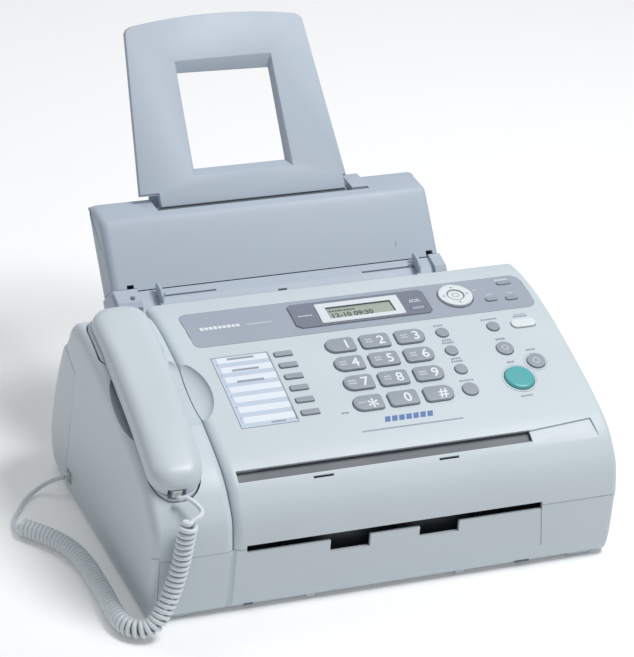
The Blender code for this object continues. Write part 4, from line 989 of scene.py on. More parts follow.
WINDOW_OUTLINE = [(-20.0, 22.8), (102.0, 22.8), (105.6, 26.4), (106.6, 53.6), (103.2, 57.4), (-19.6, 57.4), (-23.4, 53.8), (-24.6, 26.6)]
GLASS_OUTLINE = [(9.6, 29.8), (71.4, 29.8), (71.4, 45.6), (9.6, 45.6)]
CARD_OUTLINE = [(-114.4, -82.0), (-62.4, -82.0), (-62.4, -0.6), (-114.4, -0.6)]

boolean(cover, cutter("cover_hollow", cover_hollow))
boolean(cover, cutter("cover_side_hollow", cover_side_hollow))
boolean(cover, cutter("document_mouth", document_mouth))
boolean(cover, cutter("document_exit_slot", exit_slot))
boolean(cover, cutter("document_landing", exit_landing))
boolean(cover, cutter("front_relief", front_relief))
boolean(cover, cutter("grip_slits", grip_slits))
boolean(cover, pocket_on_panel("band_recess", BAND_OUTLINE, 1.1))
boolean(cover, pocket_on_panel("card_recess", CARD_OUTLINE, 0.9))
boolean(cover, scoop_right)
key_cutter = cutter("key_holes", key_holes)
boolean(cover, key_cutter)

band = make_plate("display_band", BAND_OUTLINE, -0.8, 0.3, BAND)
boolean(band, pocket_on_panel("window_recess", WINDOW_OUTLINE, 0.55))
boolean(band, key_cutter)
window = make_plate("display_window", WINDOW_OUTLINE, -0.25, 1.3, WINDOW)
boolean(window, pocket_on_panel("glass_recess", GLASS_OUTLINE, 0.9))
boolean(window, key_cutter)
glass = make_plate("lcd_glass", GLASS_OUTLINE, 0.0, 0.5, GLASS)
card = make_plate("directory_card", CARD_OUTLINE, -0.6, 0.4, CARD)


def make_key(name, x, y, outline, rise, made_of):
    bm = bmesh.new()
    add_outline(bm, outline, Matrix.Identity(4), -KEY_DEPTH, rise)
    key = link(name, mesh_from(name, bm), made_of)
    if name == "navigation_ring":
        hole_bm = bmesh.new()
        add_outline(hole_bm, circle(7.6, 16), panel_frame(x, y), -20.0, 20.0)
        boolean(key, link("navigation_ring_hole", mesh_from("navigation_ring_hole", hole_bm), None, cutter=True))
    key.matrix_world = panel_frame(x, y)
    return key


for spec in KEYS:
    make_key(*spec)
make_key("set_key", 134.2, 41.0, circle(7.1, 14), 2.0, WHITE_KEY)

# ---------------------------------------------------------------- paper tray
UP_Y, UP_Z = math.sin(LEAN), math.cos(LEAN)
BACK_Y, BACK_Z = math.cos(LEAN), -math.sin(LEAN)


def tray_yz(v, w):
    return (TRAY_Y + v * UP_Y + w * BACK_Y, TRAY_Z + v * UP_Z + w * BACK_Z)


def tray_point(x, v, w):
    return point(x, *tray_yz(v, w))


def tray_frame(x, v, w):
    """Local frame on the tray: X across, Y up the lean, Z towards the user."""
    frame = Matrix(((1, 0, 0), (0, UP_Y, -BACK_Y), (0, UP_Z, -BACK_Z))).to_4x4()
    frame.translation = tray_point(x, v, w)
    return frame


# base: block under the tray, shelf in front and a back plate behind the paper
base_profile = [(92.0, 132.2), (92.0, 148.0), (98.5, 152.6), (104.0, 156.8), tray_yz(-6.0, 0.0), tray_yz(-4.6, 27.9), tray_yz(-12.0, 28.0), (128.0, 132.0), (118.0, 124.5), (99.2, 124.5), (97.0, 132.2)]
tray_base = rounded_prism(
    "tray_base", base_profile, -165.6, 152.6, (3, 2), (3, 2),
    {0: (0, 0), 1: (0, 0), 9: (0, 0), 10: (0, 0)}, TRAY, steps=2,
)


def base_walls(bm):
    """Side blocks that stand up beside the shelf and hold the cover's pivots."""
    for x0, x1 in ((-164.2, -142.0), (140.0, 151.2)):
        add_profile(bm, [(93.5, 140.0), (93.5, 152.0), (100.0, 160.0), tray_yz(-3.6, -2.0), tray_yz(-3.6, 24.0), (132.0, 140.0)], x0, x1)


def back_plate(bm):
    """Plate behind the paper, as wide as the cover."""
    add_profile(bm, [tray_yz(-8.0, 25.2), tray_yz(75.0, 25.2), tray_yz(76.0, 26.6), tray_yz(75.0, 28.2), tray_yz(-8.0, 28.2)], TRAY_LEFT + 0.3, TRAY_RIGHT - 0.3)


def base_hollow(bm):
    add_profile(bm, [(96.0, 135.5), (96.0, 145.6), (104.0, 152.6), tray_yz(-9.5, 1.0), tray_yz(-9.4, 24.0), (123.5, 134.0), (116.5, 128.1), (102.4, 128.0)], -138.0, 136.0)


def paper_throat(bm):
    """Way from the tray down to the pick-up roller."""
    add_box(bm, (-96.0, 103.5, 118.0), (80.0, 113.0, 140.0))


def paper_slot(bm):
    """Slot in the shelf's floor behind the cover, where the sheets enter."""
    add_profile(bm, [tray_yz(-16.0, 3.6), tray_yz(2.0, 3.6), tray_yz(2.0, 14.0), tray_yz(-16.0, 14.0)], -106.0, 98.0)


def guide_tracks(bm):
    for x0, x1, y0 in ((-126.0, -70.0, 106.4), (71.0, 125.4, 106.4)):
        add_box(bm, (x0, y0, 145.0), (x1, y0 + 2.0, 175.0))


boolean(tray_base, cutter("tray_base_hollow", base_hollow), solver="MANIFOLD")
boolean(tray_base, cutter("paper_throat", paper_throat), solver="MANIFOLD")
boolean(tray_base, cutter("tray_base_walls", base_walls), "UNION", "MANIFOLD")
boolean(tray_base, cutter("tray_back_plate", back_plate), "UNION", "MANIFOLD")


def pad(bm):
    """Pad on the back plate behind the extension's stem, with a step to stand on."""
    add_profile(bm, [tray_yz(-6.0, 14.6), tray_yz(70.0, 14.6), tray_yz(71.5, 15.8), tray_yz(71.5, 26.0), tray_yz(-6.0, 26.0)], -104.0, 80.0)


boolean(tray_base, cutter("tray_back_pad", pad), "UNION", "MANIFOLD")
boolean(tray_base, cutter("guide_tracks", guide_tracks), solver="MANIFOLD")
boolean(tray_base, cutter("paper_slot", paper_slot), solver="MANIFOLD")

# tray cover: front, top and sides around the paper, open at the back
cover_outline = [
    tray_yz(-5.2, 0.0), tray_yz(56.6, 0.0), tray_yz(60.4, 0.9), tray_yz(63.4, 3.4), tray_yz(79.4, 21.8), tray_yz(81.4, 25.0), tray_yz(81.2, 27.4),
    tray_yz(78.8, 28.2), tray_yz(77.8, 24.8), tray_yz(-3.0, 24.8),
]
tray_cover = rounded_prism(
    "tray_cover", cover_outline, TRAY_LEFT, TRAY_RIGHT, (7, 6), (6, 6),
    {0: (BACK_Y, BACK_Z), 5: (-0.3 * BACK_Y, -0.5), 6: (-0.1 * BACK_Y, -0.1), 7: (0, 0), 8: (0, 0), 9: (0, 0)}, TRAY, steps=2,
)


def tray_cover_hollow(bm):
    add_profile(bm, [tray_yz(-8.0, 3.0), tray_yz(55.4, 3.0), tray_yz(59.4, 4.6), tray_yz(74.8, 22.0), tray_yz(75.8, 30.0), tray_yz(-8.0, 30.0)], TRAY_LEFT + 3.5, TRAY_RIGHT - 3.5)


def tray_mouth(bm):
    add_profile(bm, [tray_yz(40.0, 6.4), tray_yz(90.0, 6.4), tray_yz(90.0, 32.0), tray_yz(40.0, 32.0)], -106.5, 98.5)


def cover_feet(bm):
    """The cover stops above the side blocks that hold its pivots."""
    for x0, x1 in ((-175.0, -141.2), (139.2, 160.0)):
        add_profile(bm, [tray_yz(-9.0, -3.0), tray_yz(-3.0, -3.0), tray_yz(-2.6, 30.0), tray_yz(-9.0, 30.0)], x0, x1)


def pivot_notches(bm):
    for x0, x1 in ((-150.0, -143.5), (139.0, 145.5)):
        add_profile(bm, [tray_yz(-8.0, -4.0), tray_yz(0.4, -4.0), tray_yz(0.4, 4.0), tray_yz(-8.0, 4.0)], x0, x1)


boolean(tray_cover, cutter("tray_cover_hollow", tray_cover_hollow))
boolean(tray_cover, cutter("tray_mouth", tray_mouth))
boolean(tray_cover, cutter("tray_cover_feet", cover_feet))
boolean(tray_cover, cutter("pivot_notches", pivot_notches))

# extension: dished panel with a window and a stem that stands in the tray
EXT_FRONT = 10.0


def frustum(bm, front, back, w0, w1, x=0.0):
    """Outline in (x, v) that runs from depth w0 to another outline of equal count at depth w1."""
    rows = [[bm.verts.new(tray_point(x + a, b, w)) for a, b in outline] for outline, w in ((front, w0), (back, w1))]
    count = len(front)
    for i in range(count):
        j = (i + 1) % count
        bm.faces.new((rows[0][i], rows[0][j], rows[1][j], rows[1][i]))
    bm.faces.new(rows[0])
    bm.faces.new(list(reversed(rows[1])))


def extension_outline(shrink):
    """Trapezoid with an arched top and rounded shoulders, shrunk all round."""
    left_low, right_low, left_high, right_high = -120.0, 81.0, -106.6, 67.4
    low, high = 81.8, 239.4
    found = [(-102.0 + shrink, 8.0), (78.0 - shrink, 8.0), (78.0 - shrink, low + shrink), (right_low - shrink, low + shrink), (right_high - shrink, high - 6.0)]
    found += [(right_high - 2.4 - shrink, high - 2.0 - shrink * 0.6), (right_high - 7.0 - shrink, high + 0.4 - shrink)]
    centre = (left_high + right_high) / 2
    half = (right_high - left_high) / 2 - 7.0
    for i in range(1, 8):
        x = centre + half * (1 - i / 4.0)
        found.append((x, high + 0.6 + 6.2 * (1 - ((x - centre) / half) ** 2) - shrink))
    found += [(left_high + 7.0 + shrink, high + 0.4 - shrink), (left_high + 2.4 + shrink, high - 2.0 - shrink * 0.6), (left_high + shrink, high - 6.0), (left_low + shrink, low + shrink), (-102.0 + shrink, low + shrink)]
    return found


ext_bm = bmesh.new()
frustum(ext_bm, extension_outline(1.0), extension_outline(0.0), EXT_FRONT, EXT_FRONT + 3.4)
extension = link("tray_extension", mesh_from("tray_extension", ext_bm), TRAY)


def window_rim(bm):
    frustum(bm, [(-70.5, 91.0), (35.5, 91.0), (34.5, 207.5), (-68.5, 207.5)], [(-65.4, 100.4), (30.5, 100.4), (30.8, 196.6), (-64.6, 196.6)], EXT_FRONT + 1.3, EXT_FRONT + 7.7)


def window_hole(bm):
    frustum(bm, [(-66.4, 94.0), (31.0, 94.0), (29.8, 204.4), (-64.4, 204.4)], [(-61.4, 104.8), (26.0, 104.8), (26.6, 190.4), (-60.8, 192.4)], EXT_FRONT - 0.9, EXT_FRONT + 8.6)


boolean(extension, cutter("extension_window_rim", window_rim), "UNION", "MANIFOLD")
boolean(extension, cutter("extension_window_hole", window_hole), solver="MANIFOLD")


def stem_step(bm):
    add_profile(bm, [tray_yz(-20.0, EXT_FRONT - 2.0), tray_yz(70.0, EXT_FRONT - 2.0), tray_yz(69.4, EXT_FRONT + 2.0), tray_yz(-20.0, EXT_FRONT + 2.0)], -130.0, 100.0)


boolean(extension, cutter("stem_step", stem_step), solver="MANIFOLD")

# guide block beside the extension
def guide_block(bm):
    add_profile(bm, [tray_yz(56.0, 17.0), tray_yz(59.3, 14.2), tray_yz(68.6, 6.8), tray_yz(69.6, 7.2), tray_yz(85.4, 25.6), tray_yz(85.4, 27.6), tray_yz(74.0, 27.6), tray_yz(73.0, 26.6), tray_yz(56.0, 26.6)], 82.2, 97.4)


boolean(tray_base, cutter("paper_guide_block", guide_block), "UNION", "MANIFOLD")


def make_guide(name, x, side):
    """Upright document guide with a foot that runs in its track."""
    bm = bmesh.new()
    add_profile(bm, [(96.2, 156.4), (98.4, 156.4), (104.2, 158.0), (112.0, 160.6), (113.0, 160.9), (113.6, 168.6), (110.0, 169.8), (101.0, 168.2), (97.0, 163.4)], x, x + 3.0)
    guide = link(name, mesh_from(name, bm), TRAY)
    bevel(guide, 0.7, 1)
    leg = cutter(name + "_leg", lambda made: add_box(made, (min(x, x + side * 5.0) + 0.4, 106.9, 150.5), (max(x, x + side * 5.0) + 2.6, 107.9, 161.0)))
    boolean(guide, leg, "UNION")
    guide.data.transform(Matrix.Translation(-point(x, 107.4, 158.0)))
    guide.location = point(x, 107.4, 158.0)
    return guide


make_guide("document_guide_left", -125.6, 1)
make_guide("document_guide_right", 122.0, -1)

# ---------------------------------------------------------------- handset
UPPER_FRONT = HAND_FRONT + 2.5  # the upper shell stops short of the lower one at the mouth end


def hand_height(s):
    inside = min(s - UPPER_FRONT, HAND_REAR - s)
    rise = 19.5
    if inside < 14.0:
        rise = rise - 9.5 + 9.5 * math.sqrt(max(0.0, 1 - ((14.0 - inside) / 14.0) ** 2))
    return rise


def stations(front):
    ends = [0.0, 0.15, 0.5, 1.0, 1.8, 3.0, 4.4, 6.2, 8.4, 10.8, 13.2]
    return [front + e for e in ends] + [float(v) for v in np.arange(front + 16.0, HAND_REAR - 15.0, 2.5)] + [HAND_REAR - e for e in reversed(ends)]


def half_round(half, low, high, s, steps=40, power=3.2):
    """Half of a squared-off round: flat along low, bulging to high."""
    found = []
    for i in range(steps + 1):
        a = math.pi * i / steps
        c, k = math.cos(a), math.sin(a)
        x = half * math.copysign(abs(c) ** (2 / power), c)
        t = low + (high - low) * abs(k) ** (2 / power)
        found.append(hand_point(hand_x(s) + x, s, t))
    return found


upper = loft("handset_upper_shell", [half_round(hand_half(s, UPPER_FRONT, HAND_REAR), hand_arc(s) + hand_seam(s) + 0.4, hand_arc(s) + hand_height(s), s) for s in stations(UPPER_FRONT)], HANDSET)
smooth(upper)


def lower_low(s):
    inside = min(s - HAND_FRONT, HAND_REAR - s)
    deep = hand_depth(s)
    if inside < 8.0:
        deep = deep - 5.0 + 5.0 * math.sqrt(max(0.0, 1 - ((8.0 - inside) / 8.0) ** 2))
    return hand_arc(s) - deep


lower = loft("handset_lower_shell", [half_round(hand_half(s, HAND_FRONT, HAND_REAR, lower_extra(s)), hand_arc(s) + hand_seam(s), lower_low(s), s, power=4.0) for s in stations(HAND_FRONT)], HANDSET)
smooth(lower)


def handset_jack(bm):
    add_outline(bm, [(-8.0, -12.0), (8.0, -12.0), (8.0, 16.0), (-8.0, 16.0)], hand_frame(JACK_X, HAND_FRONT - 2.0, hand_arc(HAND_FRONT) - 0.5), 0.0, 8.4)


jack_cutter = cutter("handset_jack", handset_jack)
boolean(lower, jack_cutter)
boolean(upper, jack_cutter)

# hook switch under the ear end
hook_bm = bmesh.new()
add_outline(hook_bm, rounded(6.0, 11.0, 1.8, 2), Matrix.Identity(4), -16.0, 0.0)
hook = link("hook_switch_plunger", mesh_from("hook_switch_plunger", hook_bm), DARK)
hook.matrix_world = hand_frame(HAND_X, 40.0, hand_arc(40.0) - hand_depth(40.0) - 1.4)


# ---------------------------------------------------------------- the shells take the place of their CAD nodes
bpy.context.view_layer.update()


def settle(obj):
    """Turns an object with modifiers into a plain mesh at the origin."""
    bpy.context.view_layer.update()
    graph = bpy.context.evaluated_depsgraph_get()
    evaluated = obj.evaluated_get(graph)
    mesh = bpy.data.meshes.new_from_object(evaluated)
    mesh.transform(obj.matrix_world)
    obj.modifiers.clear()
    obj.data = mesh
    obj.parent = None
    obj.matrix_world = Matrix.Identity(4)
    return obj


def soften(obj, angle=32):
    obj.data.shade_smooth()
    obj.data.set_sharp_from_angle(angle=math.radians(angle))


for node, obj in list(BUILT.items()):
    if node in NODE_BODY and node.split("_")[-1] in ("key", "1", "2", "3", "4", "5", "6", "7", "8", "9", "0", "star", "hash", "ring"):
        wide = 0.9 if node.startswith("key_") else 0.6
        if node == "start_key":
            wide = 2.6
        m = obj.modifiers.new("crown", "BEVEL")
        m.width = wide * MM
        m.segments = 5
        m.limit_method = "ANGLE"
        m.angle_limit = math.radians(50)
    elif node in ("tray_extension", "document_guide_left", "document_guide_right"):
        m = obj.modifiers.new("crown", "BEVEL")
        m.width = 0.7 * MM
        m.segments = 3
        m.limit_method = "ANGLE"
        m.angle_limit = math.radians(35)
for node, obj in list(BUILT.items()):
    if node not in NODE_BODY:
        continue
    settle(obj)
    soften(obj, 40 if node.startswith("handset_u") or node.startswith("handset_l") else 32)

for obj in list(CUTTERS.objects):
    bpy.data.objects.remove(obj, do_unlink=True)

for node, obj in BUILT.items():
    if node not in NODE_BODY:
        continue
    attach(obj, NODE_BODY[node])
    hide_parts(node)


def piece(name, bm, made_of, body, angle=35):
    """A new piece of the looks that rides on a body."""
    mesh = mesh_from(name, bm)
    obj = bpy.data.objects.new("d_" + name, mesh)
    PARTS.objects.link(obj)
    mesh.materials.append(made_of)
    soften(obj, angle)
    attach(obj, body)
    return obj


#@DETAILS_START@
def panel_strip(bm, x, y, w, h, lift, thick=0.12):
    """A thin strip on the panel, centred at (x, y), for printed marks and for painted shade."""
    add_outline(bm, [(-w / 2, -h / 2), (w / 2, -h / 2), (w / 2, h / 2), (-w / 2, h / 2)], panel_frame(x, y), lift, lift + thick)


def marks(bm, x, y, width, lift, high=2.3, lines=1, letter=1.7, gap=0.6):
    """Short blocks in rows that stand for printed words."""
    for row in range(lines):
        span = width * (0.8 if lines > 1 and row == 0 else 1.0)
        count = max(2, int(span / (letter + gap)))
        for i in range(count):
            dx = (i - (count - 1) / 2) * (letter + gap)
            tall = high * (0.86 if i % 3 else 1.0)
            panel_strip(bm, x + dx, y + (lines - 1 - row) * (high + 0.9) - (lines - 1) * (high + 0.9) / 2, letter, tall, lift - 0.3, 0.48)


# printed marks on the panel
bm = bmesh.new()
for x, y, width, lines in (
    (101.8, 4.6, 11.0, 1), (102.6, -15.8, 12.5, 2), (102.0, -38.4, 12.5, 2), (101.5, -62.7, 15.0, 1), (151.2, 4.6, 17.5, 1),
    (181.8, 5.4, 14.5, 2), (151.7, -20.9, 10.0, 1), (174.1, -37.6, 10.0, 1), (149.8, -48.9, 8.0, 1), (149.3, -87.6, 11.5, 1), (-19.3, -80.2, 7.5, 1),
):
    marks(bm, x, y, width, 0.0, lines=lines)
marks(bm, 36.0, -101.4, 94.0, 0.0, high=1.6, letter=1.5, gap=0.5)
piece("panel_marks", bm, GREYINK, "top_cover")
bm = bmesh.new()
for i in range(7):
    x = 15.5 + i * 6.6
    add_outline(bm, [(-3.4, -2.9), (1.7, -2.9), (3.4, 2.9), (-1.7, 2.9)], panel_frame(x, -92.2), -0.3, 0.2)
piece("panel_badge", bm, BLUEINK, "top_cover")
bm = bmesh.new()
marks(bm, -92.0, 38.4, 38.0, 0.3, high=4.2, letter=3.2, gap=1.0)
piece("band_badge", bm, INK, "top_cover")
bm = bmesh.new()
marks(bm, -55.5, 37.6, 24.0, 0.3, high=1.8)
marks(bm, -12.0, 38.2, 16.0, 1.3, high=1.8)
marks(bm, 93.9, 41.0, 12.5, 1.3, high=1.7, lines=2)
marks(bm, 186.6, 58.4, 13.0, 0.3, high=2.6, letter=2.2, gap=0.4)
marks(bm, 166.0, 37.4, 8.5, 0.3, high=1.4)
marks(bm, 185.6, 36.6, 8.5, 0.3, high=1.4)
marks(bm, 134.2, 60.6, 11.0, 0.3, high=1.3)
marks(bm, 155.6, 47.0, 6.0, 0.3, high=1.3)
piece("band_marks", bm, PALEINK, "top_cover")

# frame round the display
bezel_outer = [(0.4, 24.6), (79.0, 24.6), (80.0, 25.6), (80.6, 51.6), (79.8, 52.6), (2.0, 52.6), (1.0, 51.6), (-0.4, 25.4)]
bezel = make_plate("display_frame", bezel_outer, 1.34, 2.1, BEZEL)
boolean(bezel, pocket_on_panel("display_frame_opening", GLASS_OUTLINE, 3.0))
bezel.modifiers.new("edge", "BEVEL").width = 0.25 * MM
settle(bezel)
soften(bezel)
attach(bezel, "top_cover")
bm = bmesh.new()
for a, b in (((9.4, 45.6), (71.6, 46.0)), ((9.2, 29.6), (9.6, 46.0))):
    x0, y0, x1, y1 = min(a[0], b[0]), min(a[1], b[1]), max(a[0], b[0]), max(a[1], b[1])
    panel_strip(bm, (x0 + x1) / 2, (y0 + y1) / 2, x1 - x0, y1 - y0, 0.5, 1.4)
piece("display_shade", bm, SHADE, "top_cover")


def text_mesh(label, size, deep=0.08):
    curve = bpy.data.curves.new("text_" + label, "FONT")
    curve.body = label
    curve.size = size * MM
    curve.align_x = "CENTER"
    curve.align_y = "CENTER"
    curve.extrude = deep / 2 * MM
    curve.resolution_u = 4
    curve.offset = 0.00022
    holder = bpy.data.objects.new("text_holder", curve)
    bpy.context.scene.collection.objects.link(holder)
    bpy.context.view_layer.update()
    mesh = bpy.data.meshes.new_from_object(holder.evaluated_get(bpy.context.evaluated_depsgraph_get()))
    bpy.data.objects.remove(holder, do_unlink=True)
    return mesh


def text_piece(name, label, size, frame_at, made_of, body):
    mesh = text_mesh(label, size)
    mesh.transform(frame_at)
    obj = bpy.data.objects.new("d_" + name, mesh)
    PARTS.objects.link(obj)
    mesh.materials.clear()
    mesh.materials.append(made_of)
    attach(obj, body)
    return obj


for i, label in enumerate(DIGITS):
    col, row = i % 3, i // 3
    kx, ky = (4.3, 37.2, 70.6)[col], (-5.2, -27.5, -50.4, -73.6)[row]
    shown = {"star": "*", "hash": "#"}.get(label, label)
    across, along = (5.4, 5.2, 5.4)[col], -1.0
    if label == "star":
        across, along = 3.6, -6.2
    elif label in ("hash", "0"):
        across = 3.6
    at = panel_frame(kx, ky, 2.6) @ Matrix.Translation((across * MM, along * MM, 0.0))
    text_piece("numeral_" + label, shown, 22.0 if label == "star" else 14.2, at, INK, "key_" + label)
    if label not in ("1", "0", "hash"):
        bm = bmesh.new()
        lines = 1 if label == "star" else 2
        for line in range(lines):
            width = 6.6 if label not in ("7", "9") else 7.6
            count = 4 if label in ("7", "9") else 3
            for k in range(count):
                cell = Matrix.Translation(((-6.0 + (k - (count - 1) / 2) * width / count) * MM, ((lines - 1) * 1.5 - line * 3.0) * MM, 0.0))
                add_outline(bm, [(-0.7, -0.75), (0.7, -0.75), (0.7, 0.75), (-0.7, 0.75)], panel_frame(kx, ky) @ cell, 2.6, 2.66)
        piece("key_mark_" + label, bm, PALEINK, "key_" + label)

text_piece("display_digits", "12-10 09:30", 8.4, panel_frame(31.5, 34.2, 0.56), LCDINK, "top_cover")
bm = bmesh.new()
marks(bm, 24.0, 41.2, 26.0, 0.4, high=2.6, letter=1.9, gap=0.9)
piece("display_dashes", bm, LCDINK, "top_cover")


def outline_ring(name, outline, by, low, high, made_of):
    """Thin dark line round a plate on the panel: painted shade in the joint."""
    ring = make_plate(name, grow(outline, by), low, high, made_of)
    boolean(ring, pocket_on_panel(name + "_inside", grow(outline, -0.35), 30.0))
    settle(ring)
    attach(ring, "top_cover")
    return ring


outline_ring("band_joint", BAND_OUTLINE, 0.55, -1.4, 0.16, JOINT_SHADE)
outline_ring("window_joint", WINDOW_OUTLINE, 0.5, 0.0, 0.46, JOINT_SHADE)

# directory card: pale rows with short headings
bm = bmesh.new()
for i in range(7):
    y = -6.4 - i * 11.5
    panel_strip(bm, -86.8, y + 1.2, 46.5, 7.0, 0.36, 0.08)
piece("card_rows", bm, CARDWHITE, "top_cover")
bm = bmesh.new()
for y in (-4.2, -17.9, -31.2):
    panel_strip(bm, -88.4, y, 24.5, 2.5, 0.44, 0.05)
panel_strip(bm, -80.0, -79.4, 13.0, 1.6, 0.4, 0.05)
for i in range(6):
    panel_strip(bm, -111.6, -10.0 - i * 12.3, 1.0, 1.6, 0.4, 0.05)
# painted shadow of the card's recess: dark strips along the card's right and top edges; the strips above are printed
# headings
panel_strip(bm, -62.9, -41.3, 0.9, 81.0, 0.4, 0.08)
panel_strip(bm, -88.4, -1.2, 51.8, 0.8, 0.4, 0.08)
piece("card_marks_and_shade", bm, CARDGREY, "top_cover")


# rings round the copy and start keys
def ring_on_panel(bm, x, y, inner, outer, low, high, count=64):
    place = panel_frame(x, y)
    rows = []
    for r, t in ((inner, low), (inner, high), (outer, high), (outer, low)):
        rows.append([bm.verts.new(place @ Vector((r * math.cos(2 * math.pi * k / count) * MM, r * math.sin(2 * math.pi * k / count) * MM, t * MM))) for k in range(count)])
    for a, b in zip(rows, rows[1:] + rows[:1]):
        for k in range(count):
            j = (k + 1) % count
            bm.faces.new((a[k], a[j], b[j], b[k]))


bm = bmesh.new()
ring_on_panel(bm, 173.2, -52.0, 10.0, 10.9, -0.3, 0.28)
ring_on_panel(bm, 150.3, -68.0, 15.4, 16.2, -0.3, 0.28)
piece("key_rings", bm, CASE, "top_cover")
bm = bmesh.new()
add_outline(bm, [(-0.45, -3.6), (0.45, -3.6), (0.45, 3.6), (-0.45, 3.6)], panel_frame(150.3, -68.0), 2.55, 2.66)
piece("start_mark", bm, GREYINK, "start_key")
bm = bmesh.new()
ring_on_panel(bm, 173.2, -52.0, 2.6, 3.3, 1.75, 1.85)
piece("copy_mark", bm, PALEINK, "copy_key")
bm = bmesh.new()
ring_on_panel(bm, 151.2, -32.8, 2.4, 3.0, 1.75, 1.85)
piece("stop_mark", bm, PALEINK, "stop_key")
bm = bmesh.new()
for k in range(4):
    turn = Matrix.Rotation(math.radians(90 * k), 4, "Z")
    add_outline(bm, [(10.4, -1.5), (13.0, 0.0), (10.4, 1.5)], panel_frame(134.2, 41.0) @ turn, 2.35, 2.46)
piece("navigation_marks", bm, GREYINK, "navigation_ring")
bm = bmesh.new()
ring_on_panel(bm, 134.2, 41.0, 2.6, 3.3, 1.95, 2.06)
piece("set_mark", bm, GREYINK, "set_key")

# painted shade: dark rings round the navigation ring and round the set key
bm = bmesh.new()
ring_on_panel(bm, 134.2, 41.0, 16.15, 17.0, -0.4, 0.42)
piece("navigation_joint_shade", bm, JOINT_SHADE, "top_cover")
bm = bmesh.new()
ring_on_panel(bm, 134.2, 41.0, 7.65, 8.3, 1.0, 2.46)
piece("navigation_inner_joint_shade", bm, JOINT_SHADE, "navigation_ring")
bm = bmesh.new()
add_profile(bm, [tray_yz(70.0, 25.4), tray_yz(84.5, 25.4), tray_yz(84.5, 28.0), tray_yz(70.0, 28.0)], -106.0, -88.0)
piece("tray_back_tab", bm, TRAY, "base")

# inside of the slots: dark plates whose colour is painted shade in the document slot and the paper exit
bm = bmesh.new()
add_outline(bm, rounded(273.0, 13.0, 0.4, 1), panel_frame(2.0, -125.4), -7.0, -4.6)
piece("document_slot_shade_floor", bm, SLOT_SHADE, "top_cover")
bm = bmesh.new()
add_outline(bm, rounded(266.0, 1.6, 0.4, 1), panel_frame(4.0, -129.4), -5.2, -3.0)
piece("document_slot_shade_ledge", bm, SLOT_SHADE, "top_cover")
bm = bmesh.new()
add_box(bm, (-133.0, -141.2, 36.0), (143.0, -140.0, 53.6))
add_box(bm, (-133.0, -142.4, 53.0), (143.0, -139.0, 54.2))
for x in (-96, -72, -4, 8, 84, 108):
    add_box(bm, (x, -150.0, 40.0), (x + 1.2, -141.0, 53.4))
piece("paper_exit_shade_baffle", bm, SLOT_DARK_SHADE, "base")
bm = bmesh.new()
add_box(bm, (-133.0, -147.6, 62.6), (143.0, -139.0, 63.6))
piece("paper_exit_shade_roof", bm, SLOT_DARK_SHADE, "top_cover")


# groove lines on the tray cover
def tray_line(bm, points, width, w, thick=0.12):
    for a, b in zip(points, points[1:]):
        d = Vector((b[0] - a[0], b[1] - a[1]))
        side = Vector((-d.y, d.x)).normalized() * width / 2
        along = d.normalized() * width * 0.4
        quad = [Vector(a) - along + side, Vector(a) - along - side, Vector(b) + along - side, Vector(b) + along + side]
        low = [bm.verts.new(tray_point(q.x, q.y, w)) for q in quad]
        high = [bm.verts.new(tray_point(q.x, q.y, w - thick)) for q in quad]
        bm.faces.new(low)
        bm.faces.new(list(reversed(high)))
        for k in range(4):
            j = (k + 1) % 4
            bm.faces.new((low[k], high[k], high[j], low[j]))


bm = bmesh.new()
corner = [(109.0 + 5.5 * math.sin(math.radians(t)), 43.5 + 5.5 * math.cos(math.radians(t))) for t in range(0, 91, 15)]
tray_line(bm, [(-117.0, 44.0), (33.0, 44.0), (45.0, 45.4), (52.0, 48.2), (61.0, 49.0)] + corner + [(111.0, 7.6)], 0.8, 0.05, 0.2)
piece("tray_cover_line", bm, TRAYLINE, "tray_cover")
bm = bmesh.new()
tray_line(bm, [(-100.5, 67.6), (76.5, 67.6)], 3.6, EXT_FRONT + 1.94, 0.2)
piece("extension_shadow_line", bm, SHADE, "tray_extension")
# painted shade of two holes in the tray base: dark discs
bm = bmesh.new()
for x, y, z in ((-149.5, 104.0, 161.7), (-144.6, 95.2, 155.3)):
    tilt = Matrix.Translation(point(x, y, z)) @ Matrix.Rotation(math.atan2(3.6, 16.1), 4, "X")
    add_outline(bm, circle(2.1), tilt, -0.6, 0.12)
piece("tray_base_holes", bm, SHADE, "base")
# dark block in the shade colour on the shelf
bm = bmesh.new()
add_box(bm, (-12.5, 99.9, 153.3), (-4.5, 101.5, 155.0))
piece("shelf_dark_block", bm, SHADE, "base")

# feet, and dark blocks in the shade colour at the lower front edge
bm = bmesh.new()
for x0, y0 in ((-197, -148), (176, -148), (-197, 48), (176, 48)):
    add_box(bm, (x0 + 3, y0 + 3, -4.0), (x0 + 19, y0 + 13, -3.4))
piece("foot_pads", bm, RUBBER, "base")
bm = bmesh.new()
for x0, x1 in ((-129.5, -121.0), (123.0, 137.0)):
    add_box(bm, (x0, -151.2, -0.2), (x1, -149.5, 1.7))
piece("front_edge_dark_blocks", bm, SHADE, "base")


